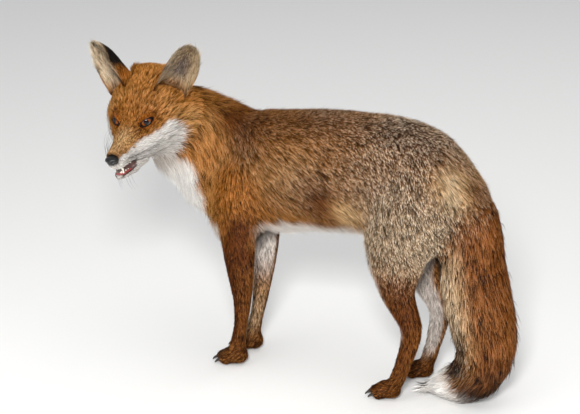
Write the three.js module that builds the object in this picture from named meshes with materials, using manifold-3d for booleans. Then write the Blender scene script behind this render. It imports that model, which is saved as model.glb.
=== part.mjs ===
// Red fox, life size, standing square with its head turned to its left.
// Millimetres, +Z up, the fox walks towards -Y and its left side is towards +X.
// Every solid goes out to the tips of the coat.
import * as THREE from "three";
import { mergeVertices } from "three/addons/utils/BufferGeometryUtils.js";
import Module from "manifold-3d";

const wasm = await Module();
wasm.setup();

// Driving sizes of the animal.
const gap = 0.3; // left between neighbouring pieces
const withersHeight = 402;
const backHeight = 418;
const bellyHeight = 222; // behind the elbows, rising towards the flank
const bellyRise = 24;
const chestY = -136; // front of the breast
const rumpY = 308; // back of the buttocks
const bodyHalfWidth = 70;
const shoulderY = -60;
const hipY = 232;
const elbowHeight = 205; // where the upper leg is parted from the lower, front and hind
const foreAnkleHeight = 42;
const hindAnkleHeight = 46;
const tailCutHeights = { upper: 225, lower: 92 };
const foreTrack = { left: 28, right: -34 }; // X of the forepaws
const hindTrack = { left: 49, right: -42 };
const forePawY = { left: -82, right: -86 };
const hindPawY = { left: 180, right: 196 };

// The head's own frame has its origin midway between the eyes and looks along -Y.
const headPlace = new THREE.Vector3(94, -214, 387);
const headTurn = { yaw: 89, nod: 7.5, tilt: -4.5 }; // degrees
const eye = { radius: 9.2, spread: 25.5, ahead: -1, level: 0.5 };
const noseSize = [10.5, 6.5, 7.5];
const noseAt = [0, -71, -32.5];
const earSize = { length: 90, halfWidth: 28, buried: 0.24, foot: 4.6, tip: 2.2, cup: 1.3 };
const earFoot = { spread: 56, behind: 46, level: 38 };
const earTurn = { outwards: { left: 42, right: 27 }, back: -14, splay: 25 }; // degrees
// How much wider the foot of each ear is than its leaf, towards the crown and away from it.
const earFlare = { left: { inner: 0.14, outer: -0.28 }, right: { inner: 0.42, outer: -0.5 } };

const colours = {
  rufous: 0xa8642f,
  saddle: 0x8f6a45,
  brownLeg: 0x7d4b26,
  cream: 0xd9cdb8,
  amber: 0x8a4a16,
  black: 0x171412,
};

const { clamp, degToRad, lerp, smoothstep } = THREE.MathUtils;

// A number that runs smoothly through a list of values as t goes from 0 to 1.
function through(values, t) {
  const last = values.length - 1;
  const place = Math.min(t, 0.999999) * last;
  const i = Math.floor(place);
  const f = place - i;
  const [a, b, c, d] = [-1, 0, 1, 2].map((k) => values[clamp(i + k, 0, last)]);
  const bend = 2 * a - 5 * b + 4 * c - d;
  return b + 0.5 * f * (c - a + f * (bend + f * (3 * (b - c) + d - a)));
}

// Only positions are kept, with shared vertices, so that the shape is a closed solid.
function plain(geometry) {
  const bare = geometry.clone();
  bare.deleteAttribute("normal");
  bare.deleteAttribute("uv");
  return mergeVertices(bare, 1e-4);
}

// A closed body along a smooth path. A station has its centre (at), its half-width (wide), its
// half-height above (over) and below (under), and how square its section is (2 is an ellipse).
// On a path that runs down a limb, over is the back of the limb and under is its front.
// Sections are square to the path, or all square to one direction where facing is given.
// The caps are the shares of the path over which its two ends round off.
function loft(stations, { around, along, startCap, endCap, square = 2, facing = null }) {
  const centres = new THREE.CatmullRomCurve3(
    stations.map((station) => new THREE.Vector3(...station.at)), false, "catmullrom", 0.5);
  const endCrowding = 0.6; // how far the rings crowd towards the two ends
  const ball = new THREE.SphereGeometry(1, around, along);
  const points = ball.attributes.position;
  for (let i = 0; i < points.count; i++) {
    const turn = 2 * Math.PI * ball.attributes.uv.getX(i);
    const pole = Math.PI * (1 - ball.attributes.uv.getY(i));
    const t = lerp(pole / Math.PI, (1 - Math.cos(pole)) / 2, endCrowding);
    const capped = Math.max(0, 1 - t / startCap, 1 - (1 - t) / endCap);
    const full = Math.sqrt(Math.max(0, 1 - capped * capped));
    const forward = facing ? new THREE.Vector3(...facing) : centres.getTangent(t);
    const side = new THREE.Vector3(1, 0, 0).addScaledVector(forward, -forward.x).normalize();
    const over = side.clone().cross(forward);
    const power = through(stations.map((station) => station.square ?? square), t);
    const c = Math.cos(turn);
    const s = Math.sin(turn);
    const reach = full / Math.pow(Math.abs(c) ** power + Math.abs(s) ** power, 1 / power);
    const wide = through(stations.map((station) => station.wide), t);
    const high = through(stations.map(({ over: up, under = up }) => (s > 0 ? up : under)), t);
    const point = centres.getPoint(t)
      .addScaledVector(side, c * reach * wide)
      .addScaledVector(over, s * reach * high);
    points.setXYZ(i, point.x, point.y, point.z);
  }
  return plain(ball);
}

function ellipsoid(centre, [x, y, z], around = 12, along = 8) {
  const ball = new THREE.SphereGeometry(1, around, along);
  ball.scale(x, y, z);
  ball.translate(...centre);
  return plain(ball);
}

// three.js geometry to a manifold-3d solid, turned right side out, and back.
function solid(geometry) {
  const vertProperties = new Float32Array(geometry.attributes.position.array);
  const triVerts = new Uint32Array(geometry.index.array);
  const make = () => new wasm.Manifold(new wasm.Mesh({ numProp: 3, vertProperties, triVerts }));
  const made = make();
  if (made.volume() > 0) return made;
  triVerts.reverse();
  return make();
}

function geometryOf(made) {
  const mesh = made.getMesh();
  const geometry = new THREE.BufferGeometry();
  geometry.setAttribute("position", new THREE.BufferAttribute(mesh.vertProperties.slice(), 3));
  geometry.setIndex(new THREE.BufferAttribute(mesh.triVerts.slice(), 1));
  return geometry;
}

// The same solid with its skin moved out, which leaves room round it in its neighbours.
function grown(made, by = gap) {
  const geometry = geometryOf(made);
  geometry.computeVertexNormals();
  const points = geometry.attributes.position;
  const normals = geometry.attributes.normal;
  for (let i = 0; i < points.count; i++) {
    points.setXYZ(i,
      points.getX(i) + by * normals.getX(i),
      points.getY(i) + by * normals.getY(i),
      points.getZ(i) + by * normals.getZ(i));
  }
  geometry.deleteAttribute("normal");
  return solid(geometry);
}

const join = (...solids) => solids.reduce((a, b) => a.add(b));
const largest = (made) => made.decompose().sort((a, b) => b.volume() - a.volume())[0];

// Thin cut across a limb or the tail, square to the direction given.
function slit(at, along) {
  const box = new THREE.BoxGeometry(220, 220, gap); // wider than any limb
  box.applyQuaternion(new THREE.Quaternion().setFromUnitVectors(
    new THREE.Vector3(0, 0, 1), new THREE.Vector3(...along).normalize()));
  box.translate(...at);
  return solid(plain(box));
}

const floor = new THREE.BoxGeometry(2000, 2000, 200);
floor.translate(0, 0, -100);
const belowFloor = solid(plain(floor));

// The trunk runs from the breast back to the buttocks, its sections all upright.
function trunk() {
  const belly = (share) => bellyHeight + share * bellyRise;
  const stations = [
    // y, top, bottom, half-width
    [chestY, 368, 194, 42],
    [-100, 388, 180, 55],
    [-50, withersHeight, belly(-0.5), 66],
    [0, 408, belly(0), bodyHalfWidth],
    [60, 416, belly(0.4), bodyHalfWidth],
    [120, backHeight, belly(0.6), 66],
    [180, backHeight, belly(1), 64],
    [hipY, 404, belly(1.6), 62],
    [263, 378, belly(2), 55],
    [287, 348, belly(2.4), 46],
    [rumpY, 330, belly(2.8), 30],
  ].map(([y, top, bottom, wide]) => (
    { at: [0, y, (top + bottom) / 2], wide, over: (top - bottom) / 2 }));
  const ends = { startCap: 0.1, endCap: 0.06 };
  return solid(loft(stations, { around: 16, along: 20, ...ends, square: 2.2, facing: [0, 1, 0] }));
}

// The neck runs back and down from inside the head to inside the shoulders.
function neck() {
  return solid(loft([
    { at: [20, -226, 388], wide: 50, over: 56, under: 50 },
    { at: [10, -192, 369], wide: 58, over: 70, under: 71 },
    { at: [0, -150, 344], wide: 59, over: 82, under: 83 },
    { at: [-1, -105, 324], wide: 60, over: 87, under: 104 },
    { at: [0, -50, 312], wide: 44, over: 80, under: 78 },
  ], { around: 16, along: 12, startCap: 0.15, endCap: 0.2 }));
}

// A paw has its four toes in a row, the middle two ahead of the outer two.
function paw({ x, y, length, wide }) {
  const sole = solid(loft([
    { at: [x, y + 0.5 * length, 15], wide: 0.62 * wide, over: 12, under: 17 },
    { at: [x, y + 0.2 * length, 15], wide: 0.8 * wide, over: 15, under: 19 },
    { at: [x, y - 0.15 * length, 12], wide: 0.85 * wide, over: 13, under: 15 },
    { at: [x, y - 0.3 * length, 10], wide: 0.6 * wide, over: 9, under: 12 },
  ], { around: 8, along: 5, startCap: 0.3, endCap: 0.3 }));
  const toes = [-1.5, -0.5, 0.5, 1.5].map((place) => {
    const outer = Math.abs(place) > 1;
    const size = outer ? 0.9 : 1;
    const ahead = (outer ? 0.16 : 0.32) * length;
    return solid(ellipsoid(
      [x + 0.5 * place * wide, y - ahead, 9.5 * size],
      [0.32 * wide * size, 0.22 * length, 12 * size], 6, 5));
  });
  return join(sole, ...toes);
}

function foreleg(side) {
  const sign = side === "left" ? 1 : -1;
  const track = foreTrack[side];
  const y = forePawY[side];
  const x = (height) => lerp(track, sign * 48, smoothstep(height, 20, 260));
  const shoulder = shoulderY + 0.5 * (y - forePawY.left);
  const station = (height, wide, back, front) => {
    const lean = lerp(y + 4, shoulder, smoothstep(height, 0, 110));
    return { at: [x(height), lean + (back - front) / 2, height], wide, over: (back + front) / 2 };
  };
  const leg = solid(loft([
    // height, half-width, reach to the back, reach to the front
    station(345, 18, 34, 40),
    station(300, 24, 38, 44),
    station(250, 25, 30, 40),
    station(208, 22, 25, 33),
    station(162, 18, 23, 29),
    station(112, 14.5, 14, 20),
    station(68, 13, 11, 15),
    station(36, 14, 10.5, 13),
    station(14, 13, 10, 10),
  ], { around: 12, along: 15, startCap: 0.12, endCap: 0.08 }));
  const foot = paw({ x: track, y, length: 52, wide: 19 });
  const whole = join(leg, foot).subtract(belowFloor);
  return {
    whole,
    pieces: whole
      .subtract(slit([track, y, elbowHeight], [0, 0, 1]))
      .subtract(slit([track, y, foreAnkleHeight], [0, 0, 1])),
    names: ["forepaw_", "forearm_", "upper_arm_"].map((name) => name + side),
  };
}

function hindleg(side) {
  const sign = side === "left" ? 1 : -1;
  const track = hindTrack[side];
  const y = hindPawY[side];
  const swing = y - hindPawY.left;
  const lay = (height) => swing * Math.max(0, 1 - height / 230);
  const x = (height) => lerp(track, sign * 46, smoothstep(height, 20, 240));
  const station = (height, centre, wide, over, under) => (
    { at: [x(height), centre + lay(height), height], wide, over, under });
  const leg = solid(loft([
    // height, Y of its middle, half-width, half-depth behind and in front
    station(368, 238, 26, 44, 44),
    station(320, 226, 33, 58, 60),
    station(272, 204, 35, 60, 64),
    station(235, 191, 32, 54, 56),
    station(200, 189, 26, 42, 42),
    station(168, 192, 20, 30, 30),
    station(143, 204, 16, 24, 24),
    station(117, 216, 14, 21, 18),
    station(85, 213, 13, 17, 17),
    station(44, 200, 12.5, 13, 13),
    station(15, 191, 13, 11, 11),
  ], { around: 12, along: 20, startCap: 0.12, endCap: 0.06 }));
  const foot = paw({ x: track, y, length: 50, wide: 17.5 });
  const whole = join(leg, foot).subtract(belowFloor);
  return {
    whole,
    pieces: whole
      .subtract(slit([track, y, elbowHeight], [0, 0, 1]))
      .subtract(slit([track, y, hindAnkleHeight], [0, 0, 1])),
    names: ["hindfoot_", "shank_", "thigh_"].map((name) => name + side),
  };
}

// The tail hangs from the rump, then curls forward along the floor.
function tail() {
  const whole = solid(loft([
    { at: [0, 256, 352], wide: 24, over: 24 },
    { at: [0, 270, 320], wide: 38, over: 40 },
    { at: [0, 278, 288], wide: 45, over: 46 },
    { at: [1, 285, 252], wide: 49, over: 49 },
    { at: [2, 291, 208], wide: 50, over: 50 },
    { at: [4, 301, 160], wide: 51, over: 51 },
    { at: [6, 314, 110], wide: 49, over: 50 },
    { at: [8, 315, 70], wide: 43, over: 45, under: 43 },
    { at: [11, 292, 40], wide: 35, over: 43, under: 36 },
    { at: [15, 260, 25], wide: 28, over: 28, under: 24 },
    { at: [20, 222, 14], wide: 10, over: 15, under: 12 },
  ], { around: 14, along: 20, startCap: 0.1, endCap: 0.14 })).subtract(belowFloor);
  return {
    whole,
    pieces: whole
      .subtract(slit([0, 285, tailCutHeights.upper], [0, 0, 1]))
      .subtract(slit([8, 311, tailCutHeights.lower], [0, 0.35, 1])),
    names: ["tail_tip", "tail_middle", "tail_base"],
  };
}

// The head with its muzzle, in its own frame, from the nose back to the nape.
function skull() {
  const stations = [
    // forward, level of greatest width, half-width, top, bottom, squareness
    [70, -36, 10, -25, -49, 2.3],
    [62, -37, 14, -21.5, -51, 2.4],
    [48, -37, 17, -17.5, -51, 2.5],
    [32, -35, 20, -12, -50, 2.4],
    [18, -31, 26, -4, -52, 2.2],
    [4, -27, 37, 10, -56, 2.1],
    [-12, -27, 51, 28, -60, 2.05],
    [-30, -30, 64, 46, -66, 1.95],
    [-50, -29, 74, 60, -70, 1.9],
    [-70, -24, 76, 67, -67, 1.9],
    [-90, -14, 66, 63, -60, 1.95],
    [-108, -6, 50, 50, -50, 2],
  ].map(([ahead, level, wide, top, bottom, square]) => (
    { at: [0, -ahead, level], wide, over: top - level, under: level - bottom, square }));
  const ends = { startCap: 0.07, endCap: 0.12 };
  return solid(loft(stations, { around: 20, along: 21, ...ends, facing: [0, 1, 0] }));
}

function lowerJaw() {
  return solid(loft([
    { at: [0, -60, -61], wide: 9, over: 4, under: 5 },
    { at: [0, -50, -62], wide: 13, over: 5, under: 9 },
    { at: [0, -34, -60], wide: 17, over: 7, under: 11 },
    { at: [0, -14, -56], wide: 24, over: 10, under: 13 },
    { at: [0, 10, -52], wide: 34, over: 10, under: 16 },
  ], { around: 12, along: 9, startCap: 0.2, endCap: 0.2 }));
}

// A cupped leaf: widest near its foot, rounded at its tip, hollow towards the front. It is
// turned to face outwards, leans back and spreads to the side.
function ear(side) {
  const sign = side === "left" ? 1 : -1;
  const { length, halfWidth, buried, foot, tip, cup } = earSize;
  const { inner, outer } = earFlare[side];
  const widest = 0.35; // share of the length at which the leaf is widest
  const footRound = 0.1; // share of the length over which its foot rounds off
  const flareEnd = 0.5; // share of the length at which the flare of the foot ends
  const wideAt = (up, lean) => { // lean is 1 on the outer side and -1 on the inner side
    const beyond = Math.max(0, (up - widest) / (1 - widest));
    const taper = Math.sqrt(Math.max(0, 1 - beyond ** 2.2));
    const outside = 0.5 + 0.5 * clamp(1.5 * lean, -1, 1);
    const low = 1 - Math.min(1, up / flareEnd);
    return halfWidth * taper * (1 + low * lerp(inner, outer, outside));
  };
  const leaf = new THREE.SphereGeometry(1, 12, 10);
  const points = leaf.attributes.position;
  for (let i = 0; i < points.count; i++) {
    const turn = 2 * Math.PI * leaf.attributes.uv.getX(i);
    const up = (1 - Math.cos(Math.PI * leaf.attributes.uv.getY(i))) / 2;
    const round = Math.sqrt(Math.max(0, 1 - (1 - Math.min(1, up / footRound)) ** 2));
    const across = Math.cos(turn) * wideAt(up, sign * Math.cos(turn)) * round;
    const wide = wideAt(up, sign * across / 20);
    const thick = lerp(foot, tip, up) * round * Math.sqrt(Math.max(0, 1 - up ** 8));
    const hollow = cup * (wide - across ** 2 / Math.max(wide, 1)) * (1 - 0.35 * up);
    points.setXYZ(i, across, Math.sin(turn) * thick + hollow, (up - buried) * length);
  }
  leaf.rotateZ(sign * degToRad(earTurn.outwards[side]));
  leaf.rotateX(degToRad(earTurn.back));
  leaf.rotateY(sign * degToRad(earTurn.splay));
  leaf.translate(sign * earFoot.spread, earFoot.behind, earFoot.level);
  return solid(plain(leaf));
}

// From the head's frame to the body's.
const headMatrix = new THREE.Matrix4().makeRotationFromEuler(new THREE.Euler(
  degToRad(headTurn.nod), degToRad(headTurn.tilt), degToRad(headTurn.yaw), "ZXY"));
headMatrix.setPosition(headPlace);
const inBody = (made) => made.transform(headMatrix.elements);

const fox = new THREE.Group();

function place(name, made, colour, roughness = 0.85) {
  const material = new THREE.MeshStandardMaterial({ color: colour, roughness, metalness: 0 });
  const mesh = new THREE.Mesh(geometryOf(made), material);
  mesh.name = name;
  fox.add(mesh);
}

// Each piece is cut clear of the ones placed before it.
const taken = [];
const clearOf = (made) => largest(taken.reduce((left, other) => left.subtract(other), made));

function settle(name, made, colour, roughness) {
  place(name, clearOf(made), colour, roughness);
  taken.push(grown(made));
}

// A limb or the tail is cut clear as a whole and then parted, lowest piece first.
function settleParts({ whole, pieces, names }, colourOf) {
  clearOf(whole).intersect(pieces).decompose()
    .sort((a, b) => b.volume() - a.volume())
    .slice(0, names.length)
    .sort((a, b) => a.boundingBox().min[2] - b.boundingBox().min[2])
    .forEach((part, i) => place(names[i], part, colourOf[i]));
  taken.push(grown(whole));
}

for (const [side, sign] of [["left", 1], ["right", -1]]) {
  const ball = ellipsoid([sign * eye.spread, -eye.ahead, eye.level], Array(3).fill(eye.radius), 10, 7);
  settle("eye_" + side, inBody(solid(ball)), colours.amber, 0.15);
}
settle("nose", inBody(solid(ellipsoid(noseAt, noseSize, 10, 7))), colours.black, 0.35);
settle("head", inBody(skull()), colours.rufous);
settle("lower_jaw", inBody(lowerJaw()), colours.cream);
for (const side of ["left", "right"]) {
  settleParts(foreleg(side), [colours.brownLeg, colours.brownLeg, colours.rufous]);
  settleParts(hindleg(side), [colours.brownLeg, colours.brownLeg, colours.rufous]);
}
settle("trunk", trunk(), colours.saddle);
settle("neck", neck(), colours.rufous);
for (const side of ["left", "right"]) {
  settle("ear_" + side, inBody(ear(side)), colours.black);
}
settleParts(tail(), [colours.cream, colours.saddle, colours.rufous]);

// The origin is under the middle of the whole, on the floor.
const box = new THREE.Box3().setFromObject(fox, true);
const middle = box.getCenter(new THREE.Vector3());
for (const mesh of fox.children) mesh.geometry.translate(-middle.x, -middle.y, -box.min.z);

export default fox;
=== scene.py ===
import math
import bmesh
import bpy
import numpy as np
from mathutils import Matrix, Vector
from mathutils.bvhtree import BVHTree
from mathutils.kdtree import KDTree


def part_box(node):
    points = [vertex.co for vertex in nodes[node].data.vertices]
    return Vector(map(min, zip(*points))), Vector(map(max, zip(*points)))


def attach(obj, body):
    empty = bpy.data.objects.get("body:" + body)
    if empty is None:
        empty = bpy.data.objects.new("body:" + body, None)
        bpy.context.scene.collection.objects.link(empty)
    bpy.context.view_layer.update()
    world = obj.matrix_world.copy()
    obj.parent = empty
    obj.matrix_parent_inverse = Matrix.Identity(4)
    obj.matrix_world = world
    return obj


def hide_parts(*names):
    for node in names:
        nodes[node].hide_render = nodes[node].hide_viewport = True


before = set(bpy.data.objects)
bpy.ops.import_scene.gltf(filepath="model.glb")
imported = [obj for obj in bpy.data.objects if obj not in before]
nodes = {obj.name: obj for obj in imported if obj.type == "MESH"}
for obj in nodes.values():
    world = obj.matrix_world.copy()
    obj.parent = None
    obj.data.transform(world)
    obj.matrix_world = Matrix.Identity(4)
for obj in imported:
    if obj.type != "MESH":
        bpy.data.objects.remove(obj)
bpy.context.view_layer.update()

mm = 0.001
fleshNodes = sorted(name for name in nodes if not name.startswith(("eye", "nose")))
meltedNodes = [name for name in fleshNodes if not name.startswith("ear")]  # the ears are made anew


def smoothStep(low, high, value):
    t = np.clip((value - low) / (high - low), 0, 1)
    return t * t * (3 - 2 * t)


def hill(value, centre, width):  # 1 at the centre, falling off to both sides
    return np.exp(-((value - centre) / width) ** 2)


def unit(vectors):
    return vectors / np.maximum(np.linalg.norm(vectors, axis=-1, keepdims=True), 1e-9)


def readPoints(mesh):
    points = np.empty(len(mesh.vertices) * 3, np.float32)
    mesh.vertices.foreach_get("co", points)
    return points.reshape(-1, 3).astype(float)


def writePoints(mesh, points):
    mesh.vertices.foreach_set("co", points.astype(np.float32).ravel())
    mesh.update()


def selectOnly(*objects):
    bpy.ops.object.select_all(action="DESELECT")
    for piece in objects:
        piece.select_set(True)
    bpy.context.view_layer.objects.active = objects[0]


def applyModifier(piece, kind, **settings):
    selectOnly(piece)
    modifier = piece.modifiers.new(kind.title(), kind)
    for key, value in settings.items():
        setattr(modifier, key, value)
    bpy.ops.object.modifier_apply(modifier=modifier.name)


def editWhole(piece, operator, **settings):  # one edit-mode operator on all of a piece
    selectOnly(piece)
    bpy.ops.object.mode_set(mode="EDIT")
    bpy.ops.mesh.select_all(action="SELECT")
    operator(**settings)
    bpy.ops.object.mode_set(mode="OBJECT")


def addObject(name, data):
    thing = bpy.data.objects.new(name, data)
    bpy.context.scene.collection.objects.link(thing)
    return thing


def rename(piece, name):
    piece.name = name
    piece.data.name = name
    return piece


def joined(name, pieces):
    selectOnly(*pieces)
    bpy.ops.object.join()
    return rename(bpy.context.object, name)


attributeKeys = {"FLOAT": "value", "FLOAT_VECTOR": "vector", "FLOAT_COLOR": "color"}


def storeValues(mesh, title, values, kind="FLOAT"):  # at each point
    attribute = mesh.attributes.new(title, kind, "POINT")
    attribute.data.foreach_set(attributeKeys[kind], values.reshape(-1).astype(np.float32))


# Small pieces and ears are balls drawn out to their shapes: t runs from pole to pole, c and s go round.
def shapedBall(name, segments, rings, shape):
    bpy.ops.object.select_all(action="DESELECT")
    bpy.ops.mesh.primitive_uv_sphere_add(segments=segments, ring_count=rings, radius=1)
    piece = rename(bpy.context.object, name)
    ball = readPoints(piece.data)
    t = np.arccos(np.clip(-ball[:, 2], -1, 1)) / math.pi
    ring = np.maximum(np.hypot(ball[:, 0], ball[:, 1]), 1e-9)
    atPole = np.abs(ball[:, 2]) > 0.99999
    c = np.where(atPole, 0, ball[:, 0] / ring)
    s = np.where(atPole, 0, ball[:, 1] / ring)
    writePoints(piece.data, shape(t, c, s, ball))
    editWhole(piece, bpy.ops.mesh.normals_make_consistent, inside=False)
    bpy.ops.object.shade_smooth()
    return piece


# The animal's own two sets of axes, worked out from the frame, in millimetres.

def middleOf(name):
    low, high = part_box(name)
    return np.array((low + high) / 2)


trunkLow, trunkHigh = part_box("trunk")
breastAhead = 0.136  # the breast is this far ahead of the body's own origin
bodyOrigin = np.array([(trunkLow.x + trunkHigh.x) / 2, trunkLow.y + breastAhead, 0])


def bodyAxes(points):  # left, back and up from the floor below the withers
    return ((points - bodyOrigin) / mm).T


eyesMiddle = (middleOf("eye_left") + middleOf("eye_right")) / 2
headLeft = unit(middleOf("eye_left") - middleOf("eye_right"))
toNose = middleOf("nose") - eyesMiddle
toNose = unit(toNose - headLeft * (toNose @ headLeft))
overNose = np.cross(toNose, headLeft)
noseDrop = math.atan2(33, 72)  # the nose is this far below the line of sight
headAhead = math.cos(noseDrop) * toNose + math.sin(noseDrop) * overNose
headUp = math.cos(noseDrop) * overNose - math.sin(noseDrop) * toNose
headOrigin = eyesMiddle + (headAhead * 1 - headUp * 0.5) * mm
headTurn = np.array([headLeft, headAhead, headUp])


def headAxes(points):  # left, ahead and up from the middle between the eyes
    return (((points - headOrigin) / mm) @ headTurn.T).T


def fromHead(left, ahead, up):
    return headOrigin + (np.stack([left, ahead, up], -1) @ headTurn) * mm


print("frame read")


# The skin: the flesh pieces made one, smoothed, and drawn in by the depth of the coat.

skinSettings = {
    "grain": 0.0036,  # voxel of the remesh
    "overlap": 0.0007,  # how far the pieces are swollen to meet over their gaps
    "firstSmooth": 4,
    "steps": 6,  # the skin is drawn in by this many small steps
}

# What the coat is like on each part: length, depth and width of a tuft in mm, tufts to a
# square mm, and the size of a lock. The skin lies inside the solid by the depth.
coatKinds = {
    "head": (11, 2.6, 0.9, 1.0, 2.2),
    "lower_jaw": (7, 2.0, 0.7, 1.5, 2.2),
    "ear": (6, 0.9, 0.62, 1.2, 2.0),
    "neck": (28, 10, 1.0, 0.66, 2.2),
    "trunk": (19, 7, 0.95, 0.65, 1.9),
    "upper_arm": (15, 5, 1.05, 0.72, 2.0),
    "forearm": (10, 2.4, 0.9, 0.68, 2.0),
    "forepaw": (7, 1.5, 0.7, 0.85, 2.0),
    "thigh": (17, 6.5, 1.0, 0.66, 1.9),
    "shank": (11, 2.6, 0.9, 0.62, 2.1),
    "hindfoot": (7, 1.5, 0.7, 0.85, 2.0),
    "tail_base": (26, 8, 1.2, 0.5, 2.6),
    "tail_middle": (30, 10, 1.25, 0.5, 2.7),
    "tail_tip": (28, 11, 1.3, 0.58, 3.0),
}


def kindOf(name):
    return name if name in coatKinds else name.rsplit("_", 1)[0]


def joinFlesh():
    pieces = []
    for name in meltedNodes:
        piece = addObject("flesh_" + name, nodes[name].data.copy())
        piece.data.materials.clear()
        editWhole(piece, bpy.ops.mesh.remove_doubles, threshold=0.00002)
        applyModifier(piece, "DISPLACE", strength=skinSettings["overlap"], mid_level=0)
        pieces.append(piece)
    skin = joined("skin", pieces)
    applyModifier(skin, "REMESH", mode="VOXEL", voxel_size=skinSettings["grain"])
    return skin


def nearestParts(points):  # which flesh piece each point belongs to
    corners = []
    faces = []
    owner = []
    count = 0
    for i, name in enumerate(meltedNodes):
        mesh = nodes[name].data
        local = readPoints(mesh)
        corners.append(local)
        for face in mesh.polygons:
            faces.append([count + v for v in face.vertices])
            owner.append(i)
        count += len(local)
    tree = BVHTree.FromPolygons(np.concatenate(corners).tolist(), faces)
    owner = np.array(owner)
    found = [tree.find_nearest(Vector(p))[2] for p in points]
    return owner[found]


class SkinNet:  # the skin's edges, for averaging a value over its neighbours
    def __init__(self, mesh):
        edges = np.empty(len(mesh.edges) * 2, np.int32)
        mesh.edges.foreach_get("vertices", edges)
        self.edges = edges.reshape(-1, 2)
        self.count = len(mesh.vertices)
        both = np.concatenate([self.edges[:, 0], self.edges[:, 1]])
        self.degree = np.maximum(np.bincount(both, minlength=self.count), 1)

    def average(self, values, times=1, share=1.0):
        values = np.array(values, float)
        flat = values.reshape(self.count, -1)
        a, b = self.edges.T
        for _ in range(times):
            for k in range(flat.shape[1]):
                total = np.bincount(a, flat[b, k], self.count)
                total += np.bincount(b, flat[a, k], self.count)
                flat[:, k] += share * (total / self.degree - flat[:, k])
        return flat.reshape(values.shape)

    def normals(self, mesh, points):
        writePoints(mesh, points)
        normals = np.empty(self.count * 3, np.float32)
        mesh.vertex_normals.foreach_get("vector", normals)
        return normals.reshape(-1, 3).astype(float)


def partShares(points):  # how much each point belongs to each kind of part
    owner = nearestParts(points)
    kinds = np.array([kindOf(name) for name in meltedNodes])
    return {kind: (kinds[owner] == kind).astype(float) for kind in coatKinds if kind != "ear"}


def drawIn(skin):
    mesh = skin.data
    net = SkinNet(mesh)
    points = readPoints(mesh)
    shares = partShares(points)
    ahead, up = headAxes(points)[1:]
    small = shares["lower_jaw"] + shares["forepaw"] + shares["hindfoot"]
    face = shares["head"] * smoothStep(-60, -20, ahead)
    give = net.average(1 - 0.85 * np.clip(small + 0.7 * face, 0, 1), 12)
    points = net.average(points, skinSettings["firstSmooth"], 0.6 * give)
    depth = sum(share * coatKinds[kind][1] for kind, share in shares.items())
    depth += 6 * shares["head"] * smoothStep(-20, -60, ahead) * smoothStep(10, -20, up)
    depth -= 1.3 * shares["head"] * smoothStep(-10, 25, ahead)
    depth = np.maximum(net.average(depth, 25), 1.0)
    for _ in range(skinSettings["steps"]):
        inward = net.normals(mesh, points) * (depth * mm / skinSettings["steps"])[:, None]
        points = net.average(points - inward, 2, 0.5 * give)
    points = net.average(points, 8, 0.5 * give ** 3)
    meeting = net.average(shares["neck"], 20)
    points = net.average(points, 30, 0.6 * hill(meeting, 0.5, 0.4) * give)
    writePoints(mesh, points)


def subdivideWhere(piece, test):
    selectOnly(piece)
    mesh = piece.data
    inside = test(readPoints(mesh))
    bpy.ops.object.mode_set(mode="EDIT")
    bpy.ops.mesh.select_mode(type="FACE")
    bpy.ops.mesh.select_all(action="DESELECT")
    bpy.ops.object.mode_set(mode="OBJECT")
    chosen = [all(inside[v] for v in face.vertices) for face in mesh.polygons]
    mesh.polygons.foreach_set("select", chosen)
    bpy.ops.object.mode_set(mode="EDIT")
    bpy.ops.mesh.subdivide(number_cuts=1, smoothness=0.5)
    bpy.ops.object.mode_set(mode="OBJECT")


# The eyes' places and the almond of their lids, in the head's own millimetres.
eyeSettings = {
    "spread": 25.5,
    "ahead": -1,
    "level": 0.5,
    "depth": 5.2,  # the ball's front lies this much deeper than the solid's
    "radius": 10.4,
    "front": 9.2,  # from the centre to the front of the ball
    "outwards": 33,  # degrees that each eye looks to its side
    "upwards": 7,
    "slant": 24,  # degrees that the outer corner stands higher
    "inner": 10.4,  # from the middle to the corners of the lids
    "outer": 8.8,
    "upper": 4.5,
    "lower": 3.5,
    "lid": 0.7,  # thickness
    "lidCurve": 15,  # radius that the lids follow
    "lean": 0.12,  # how far the lower lid stands ahead of the upper
}


def eyeAxes(sign):  # centre and three directions: towards the outer corner, up and out
    e = eyeSettings
    out = math.radians(e["outwards"])
    rise = math.radians(e["upwards"])
    gaze = np.array([sign * math.sin(out) * math.cos(rise), math.cos(out) * math.cos(rise), math.sin(rise)])
    centre = np.array([sign * e["spread"], e["ahead"], e["level"]]) - gaze * e["depth"]
    level = unit(np.array([sign * gaze[1], -sign * gaze[0], 0]))
    upright = np.cross(level, gaze) * sign
    slant = math.radians(e["slant"])
    across = math.cos(slant) * level + math.sin(slant) * upright
    over = math.cos(slant) * upright - math.sin(slant) * level
    return centre, across, over, gaze


def lidRoom(across, over):  # half-height of the opening at this place
    e = eyeSettings
    reach = np.where(across > 0, e["outer"], e["inner"])
    height = np.where(over > 0, e["upper"], e["lower"])
    return height * np.clip(1 - (across / reach) ** 2, 0, 1) ** 0.8


def lidSurface(across, over):  # how far out the lids stand
    e = eyeSettings
    bow = np.sqrt(np.maximum(e["lidCurve"] ** 2 - across ** 2 - over ** 2, 20))
    return e["front"] + e["lid"] - e["lidCurve"] + bow - e["lean"] * over


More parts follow.
